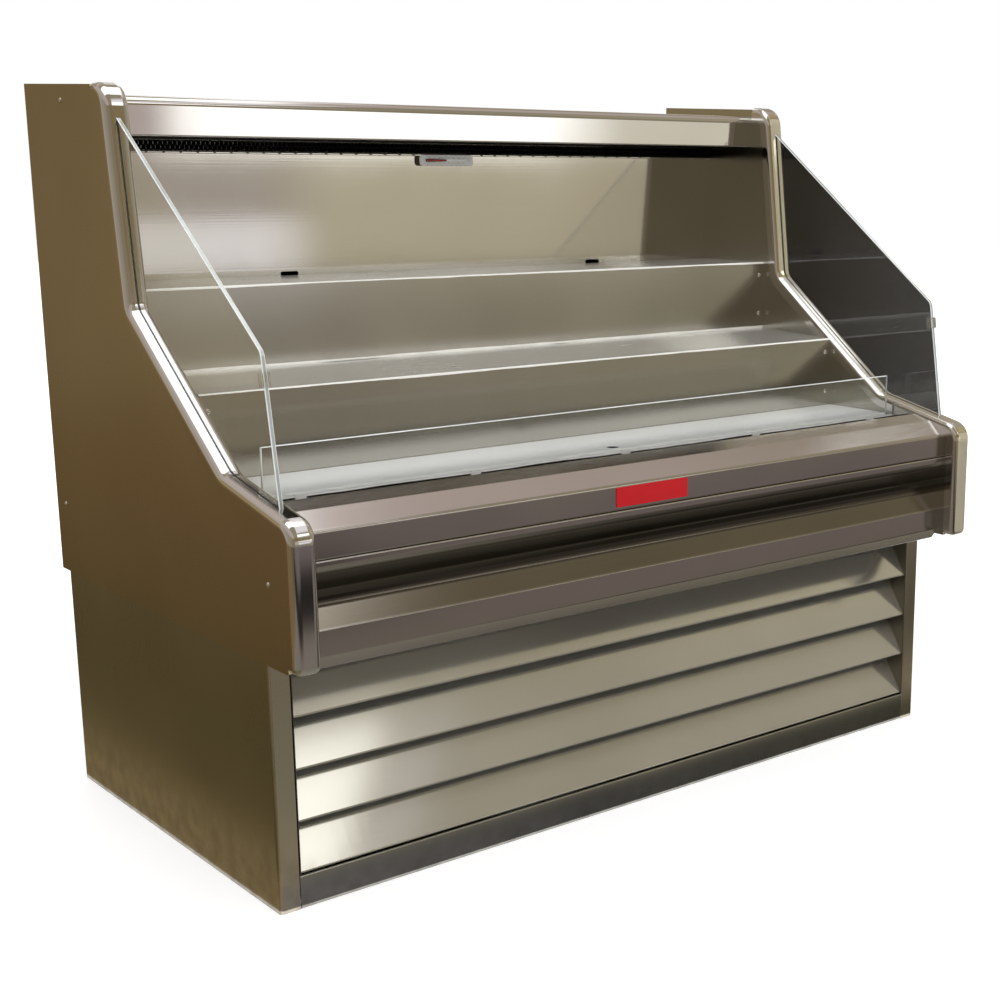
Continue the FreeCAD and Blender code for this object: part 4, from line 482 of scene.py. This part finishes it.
def painted_fold_highlights(base, edges):
    """Paints a highlight along folds that run the length of the case, near white and less metallic in a narrow band;
    each is a (y, z) line.
    """
    narrow, wide, less_metal, highlight_colour = 0.0018, 0.0034, 0.8, (0.97, 0.96, 0.92)
    tree, shader = surface_of(base)
    spot = spot_of(tree)
    across = on_vectors(tree, "MULTIPLY", spot, (0, 1, 1))["Vector"]
    nearest = 1.0
    for y, z in edges:
        nearest = maths(tree, "MINIMUM", on_vectors(tree, "DISTANCE", across, (0, y, z))["Value"], nearest)
    fold_highlight = maths(tree, "LESS_THAN", nearest, ranged(tree, noise(tree, spot, 6.0, 3.0), narrow, wide, 0.35, 0.65))
    recolour(tree, shader, fold_highlight, highlight_colour)
    held = shader.inputs["Metallic"]
    plain = held.links[0].from_socket if held.links else held.default_value
    dulled = maths(tree, "SUBTRACT", plain, maths(tree, "MULTIPLY", fold_highlight, less_metal), True)
    fill(tree, shader, "Metallic", dulled)
    return base


tier_steel = metal("tier_steel", (0.66, 0.65, 0.62), (0.74, 0.73, 0.70), lengthwise, 0.2, 0.3, 0.004, marks=0.02)
# Painted shade on the risers: their forward faces take a darker tone. The treads are less metallic so that they read
# pale, and the front folds carry painted highlights.
tier_steel = front_faces_painted_light_and_shade(tier_steel, (0.72, 0.71, 0.69), -0.08, 0.6)
dress(painted_fold_highlights(tier_steel, ((-0.078, 0.674), (0.098, 0.804), (0.098, 0.683))), "middle_tier", "upper_tier")
wall_steel = metal("wall_steel", (0.50, 0.48, 0.44), (0.56, 0.54, 0.50), lengthwise, 0.05, 0.09, 0.01, marks=0.04)
dress(wall_steel, "rear_duct_panel")
# Painted light: the deck is near white and almost not metallic, so it reads brightly lit; a painted highlight runs
# along its front fold.
deck_painted_light = metal("deck_painted_light", (0.90, 0.90, 0.90), (0.96, 0.96, 0.96), (3, 300, 300), 0.36, 0.5, metallic=0.1,
                   marks=0.06)
dress(painted_fold_highlights(deck_painted_light, ((-0.221, 0.554),)), "lower_deck")
rail_steel = metal("rail_steel", (0.50, 0.48, 0.46), (0.58, 0.56, 0.54), lengthwise, 0.16, 0.24, marks=0.05)
# Painted highlight along the rail's top fold.
dress(painted_fold_highlights(rail_steel, ((-0.2328, 0.5526),)), "deck_rail")
clip_steel = metal("clip_steel", (0.72, 0.71, 0.68), (0.82, 0.81, 0.78), (400, 400, 400), 0.3, 0.42, metallic=0.2)
dress(clip_steel, "dam_clips")


# ------------------------------------ end panels
# Two insulated panels: a brushed outer sheet, and a polished bright trim bent along the front and top.
# The trim's flat outer face carries the same grain as the sheet; only its rounding is mirror bright.
# The sheet's warm brown tone is in part its own and in part painted reflection of a warm dim shop.
end_steel = metal("end_steel", (0.42, 0.36, 0.27), (0.50, 0.43, 0.33), (400, 3, 3), 0.2, 0.32, marks=0.08)
dress(end_steel, "end_skin_left", "end_skin_right")


def box_faces(build, low, high):
    """Adds a closed box between two corners to a bmesh."""
    corners = [build.verts.new((x, y, z)) for x in (low[0], high[0]) for y in (low[1], high[1])
               for z in (low[2], high[2])]
    for face in ((0, 1, 3, 2), (4, 6, 7, 5), (0, 4, 5, 1), (2, 3, 7, 6), (0, 2, 6, 4), (1, 5, 7, 3)):
        build.faces.new([corners[i] for i in face])


def finished_mesh(name, build, smooth=False):
    """Turns a bmesh into a mesh with its faces outwards."""
    bmesh.ops.recalc_face_normals(build, faces=build.faces)
    mesh = bpy.data.meshes.new(name)
    build.to_mesh(mesh)
    build.free()
    for face in mesh.polygons:
        face.use_smooth = smooth
    return mesh


def rounded(build, edges, offset, segments=2):
    """Rounds edges of a bmesh."""
    bmesh.ops.bevel(build, geom=edges, offset=offset, segments=segments, profile=0.5, affect="EDGES")


def top_fold(name, side):
    """The return of the outer sheet that closes a panel's top, let into the foam and sloping forwards with it."""
    inner, outer, front, rear, thick = 0.61075, 0.64645, 0.1372, 0.3797, 0.0012
    front_top, rear_top = 1.08266, 1.09199
    build = bmesh.new()
    low_x, high_x = sorted((side * inner, side * outer))
    box_faces(build, (low_x, front, -thick), (high_x, rear, 0.0))
    rounded(build, list(build.edges), 0.0003)
    for corner in build.verts:
        corner.co.z += front_top + (rear_top - front_top) * (corner.co.y - front) / (rear - front)
    mesh = finished_mesh("end_top_fold", build)
    mesh.materials.append(end_steel)
    made = placed(name, mesh)
    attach(made, "cabinet")


top_fold("end_top_fold_left", -1)
top_fold("end_top_fold_right", 1)


def trim_finish(name, satin):
    """Mirror polish that turns into the brushed sheet on the outer flat; satin dulls the front face."""
    # The outer flat takes the sheet's warm tone, in part painted reflection.
    outer_flat, flat_colour, flat_rough, straight_ahead = 0.6472, (0.47, 0.40, 0.31), 0.26, 0.9
    made = metal(name, (0.62, 0.61, 0.60), (0.74, 0.73, 0.72), (40, 4, 4), 0.07, 0.13, 0.005, marks=0.06)
    tree, shader = surface_of(made)
    flat = maths(tree, "GREATER_THAN", maths(tree, "ABSOLUTE", parts_of(tree, spot_of(tree))["X"]), outer_flat)
    recolour(tree, shader, flat, flat_colour)
    held = shader.inputs["Roughness"].links[0].from_socket
    dulled = node(tree, "ShaderNodeMix", Factor=flat, A=held, B=flat_rough).outputs["Result"]
    wire(tree, shader, Roughness=dulled, Metallic=ranged(tree, looks_forwards(tree, straight_ahead), 1.0, satin))
    return made


dress(trim_finish("trim_steel_left", 1.0), "end_trim_left")
# Painted light: the right trim's forward faces are tinted warm and made half satin, so that they read paler than the
# left trim's.
dress(front_faces_painted_light_and_shade(trim_finish("trim_steel_right_painted_light", 0.5), (0.95, 0.89, 0.68), 0.0), "end_trim_right")


# ------------------------------------ front rail and panel
# One rail over the return duct, and the coved lower front under a seam; a bare red plate on the rail.
front_steel = metal("front_steel", (0.50, 0.47, 0.45), (0.58, 0.55, 0.53), lengthwise, 0.12, 0.2, marks=0.07)
dress(front_steel, "nose_rail")


def coved(base, low, high, shade):
    """Paints shade into a finish between two heights, as in the cove, where neither lamp nor cloth reaches."""
    tree, shader = surface_of(base)
    height, blur = parts_of(tree, spot_of(tree))["Z"], 0.004
    under = ranged(tree, height, 0.0, 1.0, high, high - blur)
    over = ranged(tree, height, 0.0, 1.0, low, low + blur)
    recolour(tree, shader, maths(tree, "MULTIPLY", under, over), shade, "MULTIPLY")
    return base


panel_steel = metal("panel_steel", (0.50, 0.47, 0.45), (0.58, 0.55, 0.53), lengthwise, 0.12, 0.2, marks=0.05)
# Painted shade: the cove darkened to about a fifth, and the ledge below it to about half.
panel_steel = coved(panel_steel, 0.424, 0.480, (0.22, 0.21, 0.19))
panel_steel = coved(panel_steel, 0.398, 0.428, (0.5, 0.47, 0.41))
dress(panel_steel, "front_panel")
red_enamel = metal("red_enamel", (0.50, 0.008, 0.012), (0.60, 0.012, 0.018), (60, 60, 60), 0.15, 0.25, 0.01,
                   metallic=0.0)
dress(red_enamel, "badge_plate")


# ------------------------------------ hood over the duct
# Folded stainless hood over the discharge slot.
hood_steel = metal("hood_steel", (0.58, 0.56, 0.54), (0.64, 0.62, 0.60), lengthwise, 0.05, 0.1, 0.01, marks=0.05)
dress(hood_steel, "canopy")


# ------------------------------------ air straightener
# A black moulded honeycomb in the slot under the hood, two staggered rows of six-sided cells in a thin
# rim, so that the cold air falls in a smooth sheet.
def rule_tree(name, inputs):
    """An empty Geometry Nodes tree with named inputs (name, kind)."""
    made = bpy.data.node_groups.new(name, "GeometryNodeTree")
    made.interface.new_socket("Geometry", in_out="INPUT", socket_type="NodeSocketGeometry")
    for label, kind in inputs:
        made.interface.new_socket(label, in_out="INPUT", socket_type="NodeSocket" + kind)
    made.interface.new_socket("Geometry", in_out="OUTPUT", socket_type="NodeSocketGeometry")
    return made, made.nodes.new("NodeGroupInput").outputs, made.nodes.new("NodeGroupOutput")


def step(rule, kind, settings=None, **sockets):
    """Adds a Geometry Nodes step and gives its first output."""
    return node(rule, "GeometryNode" + kind, settings, **sockets).outputs[0]


def vector_of(rule, **parts):
    """A vector from its X, Y and Z; what isn't given is 0."""
    return node(rule, "ShaderNodeCombineXYZ", **parts).outputs[0]


def coat(rule, result, geometry, material):
    """Ends a rule with real mesh in its material."""
    real = step(rule, "RealizeInstances", Geometry=geometry)
    fill(rule, result, "Geometry", step(rule, "SetMaterial", Geometry=real, Material=material))


def grown(name, base, rule, values):
    """Runs a Geometry Nodes tree on a base mesh and keeps the result as one plain mesh."""
    holder = placed(name + "_rule", base)
    modifier = holder.modifiers.new("rule", "NODES")
    modifier.node_group = rule
    for item in rule.interface.items_tree:
        if item.item_type == "SOCKET" and item.in_out == "INPUT" and item.name in values:
            modifier[item.identifier] = values[item.name]
    graph = bpy.context.evaluated_depsgraph_get()
    mesh = bpy.data.meshes.new_from_object(holder.evaluated_get(graph), preserve_all_data_layers=True,
                                           depsgraph=graph)
    holder.modifiers.clear()
    bpy.data.objects.remove(holder)
    return placed(name, mesh)


def carry(piece, body, slot, *nodes):
    """Rides a piece on its body and puts it in the place of CAD nodes; slot is not used."""
    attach(piece, body)
    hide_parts(*nodes)


def join_rings(build, one, two):
    """Closes the band between two rings of points."""
    for k in range(len(one)):
        after = (k + 1) % len(one)
        build.faces.new((one[k], one[after], two[after], two[k]))


slot_low, slot_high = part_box("discharge_honeycomb")
cell_pitch, cell_wall, cell_gap, rim_wall, play = 0.0076, 0.0005, 0.00005, 0.0012, 1e-5
cell_reach = cell_pitch / math.sqrt(3)
cell = bmesh.new()
rings = []
for radius in (cell_reach - cell_gap, cell_reach - cell_wall):
    for y in (slot_low[1], slot_high[1]):
        rings.append([cell.verts.new((radius * math.sin(turn), y, radius * math.cos(turn)))
                      for turn in [math.radians(60 * k) for k in range(6)]])
for a, b in ((0, 1), (3, 2), (2, 0), (1, 3)):
    join_rings(cell, rings[a], rings[b])
cell_mesh = finished_mesh("cell", cell)
rim = bmesh.new()
x0, y0, z0 = slot_low
x1, y1, z1 = slot_high
for low, high in (
    (slot_low, (x1, y1, z0 + rim_wall)),
    ((x0, y0, z1 - rim_wall), slot_high),
    ((x0, y0, z0 + rim_wall + play), (x0 + rim_wall, y1, z1 - rim_wall - play)),
    ((x1 - rim_wall, y0, z0 + rim_wall + play), (x1, y1, z1 - rim_wall - play)),
):
    box_faces(rim, low, high)
rim_mesh = finished_mesh("rim", rim)

rule, given, result = rule_tree("honeycomb_rows", (
    ("Columns", "Int"), ("Rows", "Int"), ("Pitch", "Float"), ("Row Rise", "Float"), ("Start", "Vector"),
    ("Cell", "Object"), ("Plastic", "Material")))
columns = step(rule, "MeshLine", {"mode": "OFFSET"}, Count=given["Columns"], Start_Location=given["Start"],
               Offset=vector_of(rule, X=given["Pitch"]))
rows = step(rule, "MeshLine", {"mode": "OFFSET"}, Count=given["Rows"], Offset=vector_of(rule, Z=given["Row Rise"]))
laid = step(rule, "RealizeInstances", Geometry=step(rule, "InstanceOnPoints", Points=rows, Instance=columns))
above = maths(rule, "SUBTRACT", parts_of(rule, step(rule, "InputPosition"))["Z"],
              parts_of(rule, given["Start"])["Z"])
row_of = maths(rule, "ROUND", maths(rule, "DIVIDE", above, given["Row Rise"]))
odd = maths(rule, "MODULO", row_of, 2.0)
stagger = maths(rule, "MULTIPLY", maths(rule, "MULTIPLY", odd, given["Pitch"]), 0.5)
shifted = step(rule, "SetPosition", Geometry=laid, Offset=vector_of(rule, X=stagger))
single = node(rule, "GeometryNodeObjectInfo", Object=given["Cell"]).outputs["Geometry"]
both = node(rule, "GeometryNodeJoinGeometry")
for piece in (step(rule, "InstanceOnPoints", Points=shifted, Instance=single), given["Geometry"]):
    rule.links.new(piece, both.inputs[0])
coat(rule, result, both.outputs[0], given["Plastic"])
cell_object = placed("cell_pattern", cell_mesh)
row_rise = cell_pitch * 1.5 / math.sqrt(3)
column_count = int((x1 - x0 - 2 * rim_wall - cell_pitch / 2) / cell_pitch)
slot_plastic = metal("slot_plastic", (0.006, 0.006, 0.006), (0.011, 0.011, 0.011), (500, 500, 500), 0.6, 0.75, 0.15,
                     metallic=0.0)
surface_of(slot_plastic)[1].inputs["Specular IOR Level"].default_value = 0.12
straightener = grown("air_straightener", rim_mesh, rule, {
    "Columns": column_count, "Rows": 2, "Pitch": cell_pitch, "Row Rise": row_rise,
    "Start": (-(column_count - 0.5) * cell_pitch / 2 + cell_pitch / 4, 0, (z0 + z1) / 2 - row_rise / 2),
    "Cell": cell_object, "Plastic": slot_plastic})
bpy.data.objects.remove(cell_object)
carry(straightener, "cabinet", "black_plastic", "discharge_honeycomb")


# ------------------------------------ thermometer
# A tube thermometer on a pale plate, hung on the lip of the duct panel: a bevelled plate with ruled
# lines, a clear tube over them and a thread of red spirit inside.
plate_low, plate_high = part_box("thermometer")
plate_back, plate_thick, corner_round, edge_round = plate_high[1], 0.0016, 0.006, 0.0004
tube_radius, thread_radius = 0.0024, 0.0009
plate_width = plate_high[0] - plate_low[0]
middle_x, middle_z = (plate_low[0] + plate_high[0]) / 2, (plate_low[2] + plate_high[2]) / 2
ivory = metal("thermometer_plate", (0.78, 0.78, 0.75), (0.84, 0.84, 0.81), (200, 200, 200), 0.25, 0.35, 0.02,
              metallic=0.0)
ink = metal("scale_ink", (0.03, 0.03, 0.05), (0.05, 0.05, 0.07), (300, 300, 300), 0.4, 0.5, metallic=0.0)
spirit = metal("red_spirit", (0.5, 0.01, 0.012), (0.6, 0.02, 0.02), (90, 90, 90), 0.1, 0.2, metallic=0.0)


def clear_glass(name, tint, rough):
    """Clear glass or plastic with a faint uneven film of grease."""
    made, tree, shader = finish_of(name)
    film = noise(tree, spot_of(tree), 9.0, 5.0)
    wire(tree, shader, Roughness=ranged(tree, film, 0.0, rough, 0.45), Base_Color=(*tint, 1),
         Transmission_Weight=1.0, IOR=1.5)
    return made


def closed_tube(build, rings):
    """Joins rings of points into a tube with both ends closed."""
    for one, two in zip(rings, rings[1:]):
        join_rings(build, one, two)
    build.faces.new(rings[0])
    build.faces.new(rings[-1])


def rod_x(name, x0, x1, y, z, radius, material):
    """A round rod along X with rounded ends."""
    around, end_rows = 20, ((0, 0.35), (0.3, 0.8), (1, 1))
    rows = [(x0 + radius * lift * 0.8, radius * share) for lift, share in end_rows]
    rows += [(x1 - radius * lift * 0.8, radius * share) for lift, share in end_rows[::-1]]
    turns = [2 * math.pi * k / around for k in range(around)]
    build = bmesh.new()
    closed_tube(build, [[build.verts.new((x, y + r * math.cos(turn), z + r * math.sin(turn))) for turn in turns]
                        for x, r in rows])
    mesh = finished_mesh(name, build, True)
    mesh.materials.append(material)
    return placed(name, mesh)


plate = bmesh.new()
box_faces(plate, (plate_low[0], plate_back - plate_thick, plate_low[2]), (plate_high[0], plate_back, plate_high[2]))
corners = [e for e in plate.edges if abs(e.verts[0].co.y - e.verts[1].co.y) > 0.001]
rounded(plate, corners, corner_round, 6)
rims = [e for e in plate.edges if all(abs(v.co.y - plate_back + plate_thick) < 1e-6 for v in e.verts)]
rounded(plate, rims, edge_round)
plate_piece = placed("thermometer_plate", finished_mesh("thermometer_plate", plate))
plate_piece.data.materials.append(ivory)
carry(plate_piece, "cabinet", "thermometer_plate", "thermometer")
tube_y = plate_back - plate_thick - tube_radius - 0.0001
tube = rod_x("thermometer_tube", middle_x - plate_width * 0.4, middle_x + plate_width * 0.4, tube_y, middle_z,
             tube_radius, clear_glass("tube_glass", (0.95, 0.96, 0.96), 0.03))
carry(tube, "cabinet", "thermometer_plate", "thermometer")
thread = rod_x("thermometer_thread", middle_x - plate_width * 0.37, middle_x - plate_width * 0.02, tube_y, middle_z,
               thread_radius, spirit)
carry(thread, "cabinet", "thermometer_plate", "thermometer")

rule, given, result = rule_tree("ruled_lines", (
    ("Count", "Int"), ("Pitch", "Float"), ("Start", "Vector"), ("Long Every", "Float"), ("Ink", "Material")))
line = step(rule, "MeshLine", {"mode": "OFFSET"}, Count=given["Count"], Start_Location=given["Start"],
            Offset=vector_of(rule, X=given["Pitch"]))
every = maths(rule, "LESS_THAN", maths(rule, "MODULO", step(rule, "InputIndex"), given["Long Every"]), 0.5)
length = maths(rule, "ADD", 1.0, maths(rule, "MULTIPLY", every, 0.7))
ticks = step(rule, "InstanceOnPoints", Points=line, Instance=given["Geometry"],
             Scale=vector_of(rule, X=1.0, Y=1.0, Z=length))
coat(rule, result, ticks, given["Ink"])
tick_count, tick_pitch, half_wide, half_long = 33, 0.0024, 0.00018, 0.0011
from_middle, proud, let_in = 0.0048, 0.00008, 0.00002
tick = bmesh.new()
for side in (-1, 1):
    z = side * from_middle
    box_faces(tick, (-half_wide, -proud, z - half_long), (half_wide, let_in, z + half_long))
scale_lines = grown("thermometer_scale", finished_mesh("tick", tick), rule, {
    "Count": tick_count, "Pitch": tick_pitch, "Long Every": 4.0, "Ink": ink,
    "Start": (middle_x - (tick_count - 1) * tick_pitch / 2, plate_back - plate_thick, middle_z)})
carry(scale_lines, "cabinet", "thermometer_plate", "thermometer")


# ------------------------------------ base sides and grille
# The lower sides and the kick plate are brushed stainless. The louvre grille is four slanting blades,
# each hemmed at its foot and flanged at its top, spot-welded between two side webs.
side_steel = metal("side_steel", (0.40, 0.37, 0.30), (0.48, 0.45, 0.38), (400, 400, 3), 0.22, 0.34, marks=0.08,
                   dust=0.12)
# Painted light: the sides' forward faces are made half again as bright. Their warm tone is in part painted
# reflection.
side_steel = front_faces_painted_light_and_shade(side_steel, (1.5, 1.46, 1.42), 0.0)
dress(side_steel, "base_side_left", "base_side_right")
louvre_steel = metal("louvre_steel", (0.58, 0.56, 0.50), (0.66, 0.64, 0.58), lengthwise, 0.09, 0.15, 0.004,
                     metallic=0.8, marks=0.04, dust=0.07)
# Painted shade: the kick plate is darker than the blades above it.
kick_steel = metal("kick_steel", (0.40, 0.39, 0.36), (0.48, 0.47, 0.43), lengthwise, 0.14, 0.24, marks=0.05,
                   dust=0.05)
dress(kick_steel, "kick_plate")
# Painted shade: the grille's side webs are dark, as in the blades' shadow.
dress(metal("web_painted_shade", (0.20, 0.19, 0.16), (0.28, 0.27, 0.23), lengthwise, 0.3, 0.42), "grille_frame")

blade_front, blade_low, blade_depth, blade_rise = -0.2824, 0.049, 0.042, 0.066
blade_hem, blade_flange, sheet, outer_fold = 0.009, 0.006, 0.0012, 0.0022
blade_half, blade_count, blade_pitch = 0.6033, 4, 0.073


def folded(corners, radius, steps=6):
    """Points along a bent strip (y, z), with an arc at each inner corner, and the side they turn to."""
    points = [Vector(corners[0])]
    for before, at, after in zip(corners, corners[1:], corners[2:]):
        into, out = (Vector(at) - Vector(before)).normalized(), (Vector(after) - Vector(at)).normalized()
        turn = into.angle(out)
        tangent = radius * math.tan(turn / 2)
        start, away = Vector(at) - into * tangent, Vector((into.y, -into.x))
        centre = start + away * radius
        for k in range(steps + 1):
            angle = -turn * k / steps
            spoke = start - centre
            points.append(centre + Vector((spoke.x * math.cos(angle) - spoke.y * math.sin(angle),
                                           spoke.x * math.sin(angle) + spoke.y * math.cos(angle))))
    return points + [Vector(corners[-1])]


outer = folded([(blade_front + blade_hem, blade_low), (blade_front, blade_low),
                (blade_front + blade_depth, blade_low + blade_rise),
                (blade_front + blade_depth + blade_flange, blade_low + blade_rise)], outer_fold)
inner = []
for i, point in enumerate(outer):
    run = (outer[min(i + 1, len(outer) - 1)] - outer[max(i - 1, 0)]).normalized()
    inner.append(point + Vector((run.y, -run.x)) * sheet)
section = outer + inner[::-1]
blade = bmesh.new()
stations = 60
closed_tube(blade, [[blade.verts.new((-blade_half + 2 * blade_half * s / stations, p.x, p.y)) for p in section]
                    for s in range(stations + 1)])

rule, given, result = rule_tree("blade_rows", (
    ("Count", "Int"), ("Pitch", "Float"), ("Wave", "Float"), ("Seed", "Float"), ("Steel", "Material")))
stack = step(rule, "MeshLine", {"mode": "OFFSET"}, Count=given["Count"], Offset=vector_of(rule, Z=given["Pitch"]))
rows = step(rule, "InstanceOnPoints", Points=stack, Instance=given["Geometry"])
real = step(rule, "RealizeInstances", Geometry=rows)
ripple = node(rule, "ShaderNodeTexNoise", {"noise_dimensions": "4D"}, W=given["Seed"], Scale=4.0, Detail=1.0)
push = maths(rule, "MULTIPLY", maths(rule, "SUBTRACT", ripple.outputs[0], 0.5), given["Wave"])
waved = step(rule, "SetPosition", Geometry=real, Offset=vector_of(rule, Y=push))
fill(rule, result, "Geometry", step(rule, "SetMaterial", Geometry=waved, Material=given["Steel"]))
blades = grown("louvre_blade_set", finished_mesh("blade", blade), rule, {
    "Count": blade_count, "Pitch": blade_pitch, "Wave": 0.0016, "Seed": 3.0, "Steel": louvre_steel})
carry(blades, "louvre_grille", "stainless", "louvre_blades")


# ------------------------------------ screws
# Domed steel screws with a cross recess hold the end panels and both ends of the risers. Each is turned
# in by hand, so no two recesses stop at the same angle.
screw_steel = metal("screw_steel", (0.60, 0.59, 0.57), (0.74, 0.73, 0.71), (400, 400, 400), 0.16, 0.3)
screw_radius, screw_height = 0.004, 0.0022
end_face, rear_screw, low_z = 0.6475, (0.244, 1.06403), 0.463
riser_end, riser_drops = 0.5985, (0.024, 0.095)
places = []
for side in (-1, 1):
    for y, z in (rear_screw, (0.346, low_z), (-0.318, low_z)):
        places.append(((side * end_face, y, z), (0, side * math.pi / 2, 0)))
for face, top in ((0.098, 0.804), (-0.078, 0.674)):
    for drop in riser_drops:
        for side in (-1, 1):
            places.append(((side * riser_end, face, top - drop), (math.pi / 2, 0, 0)))
seats = bpy.data.meshes.new("screw_seats")
seats.from_pydata([place for place, turn in places], [], [])
turns = seats.attributes.new("turn", "FLOAT_VECTOR", "POINT")
for i, (place, turn) in enumerate(places):
    turns.data[i].vector = turn

rule, given, result = rule_tree("domed_screws", (
    ("Radius", "Float"), ("Height", "Float"), ("Slot", "Float"), ("Seed", "Int"), ("Steel", "Material")))
radius, height, slot = given["Radius"], given["Height"], given["Slot"]
ball = step(rule, "MeshUVSphere", Segments=32, Rings=16, Radius=1.0)
dome = step(rule, "Transform", Geometry=ball, Scale=vector_of(rule, X=radius, Y=radius, Z=height))
under = step(rule, "Transform", Geometry=step(rule, "MeshCube", Size=(0.02, 0.02, 0.02)), Translation=(0, 0, -0.01))
bars = node(rule, "GeometryNodeJoinGeometry")
for wide, deep in ((radius, slot), (slot, radius)):
    bar = step(rule, "MeshCube", Size=vector_of(rule, X=wide, Y=deep, Z=height))
    lifted = step(rule, "Transform", Geometry=bar, Translation=vector_of(rule, Z=height))
    rule.links.new(lifted, bars.inputs[0])
cut = node(rule, "GeometryNodeMeshBoolean", {"operation": "DIFFERENCE"})
rule.links.new(dome, cut.inputs[0])
for cutter in (under, bars.outputs[0]):
    rule.links.new(cutter, cut.inputs[1])
spin = node(rule, "FunctionNodeRandomValue", {"data_type": "FLOAT"}, Seed=given["Seed"])
spin.inputs[3].default_value = math.pi / 2
own_turn = node(rule, "FunctionNodeEulerToRotation", Euler=vector_of(rule, Z=spin.outputs[1]))
facing = step(rule, "InputNamedAttribute", {"data_type": "FLOAT_VECTOR"}, Name="turn")
face_turn = node(rule, "FunctionNodeEulerToRotation", Euler=facing)
whole = node(rule, "FunctionNodeRotateRotation", {"rotation_space": "LOCAL"}, Rotation=face_turn.outputs[0])
rule.links.new(own_turn.outputs[0], whole.inputs[1])
heads = step(rule, "InstanceOnPoints", Points=given["Geometry"], Instance=cut.outputs[0], Rotation=whole.outputs[0])
coat(rule, result, heads, given["Steel"])
screws = grown("case_screws", seats, rule, {
    "Radius": screw_radius, "Height": screw_height, "Slot": 0.0009, "Seed": 7, "Steel": screw_steel})
carry(screws, "cabinet", "screw_steel", "panel_screws")


# ------------------------------------ glass
# Clear glass panes stand in the trim's groove, with ground and polished edges that catch the light. The
# dam along the deck is clear sheet with the same edge, and small clear clips hold the panes' fronts.
pane_glass = clear_glass("pane_glass", (0.97, 0.99, 0.98), 0.008)
pane_edge = metal("pane_edge", (0.80, 0.84, 0.83), (0.96, 0.98, 0.97), (30, 30, 30), 0.08, 0.16, patch=7.0,
                  metallic=0.0)
pane_rim = metal("pane_rim", (0.20, 0.22, 0.21), (0.66, 0.69, 0.67), (30, 30, 30), 0.05, 0.12, patch=7.0,
                 metallic=0.3)
clip_plastic = clear_glass("clip_plastic", (0.92, 0.93, 0.92), 0.2)
dress(clip_plastic, "glass_clips")


def edged_pane(name, source, thin):
    """A copy of a CAD pane, merged, with a fine bevel and its edges in the edge finishes."""
    merge, edge_bevel, sheet_face, bevel_face = 1e-5, 0.0011, 0.98, 0.05
    build = bmesh.new()
    build.from_mesh(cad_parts[source].data)
    bmesh.ops.remove_doubles(build, verts=build.verts, dist=merge)
    bmesh.ops.dissolve_limit(build, angle_limit=math.radians(1), verts=build.verts, edges=build.edges)
    sharp = [e for e in build.edges if len(e.link_faces) == 2 and e.calc_face_angle(0) > math.radians(60)]
    rounded(build, sharp, edge_bevel)
    mesh = finished_mesh(name, build)
    for finish in (pane_glass, pane_edge, pane_rim):
        mesh.materials.append(finish)
    for face in mesh.polygons:
        slope = abs(face.normal[thin])
        face.material_index = 0 if slope > sheet_face else (1 if slope > bevel_face else 2)
    carry(placed(name, mesh), "cabinet", "pane_glass", source)


edged_pane("glass_pane_left", "side_glass_left", 0)
edged_pane("glass_pane_right", "side_glass_right", 0)
edged_pane("deck_dam", "front_dam", 1)
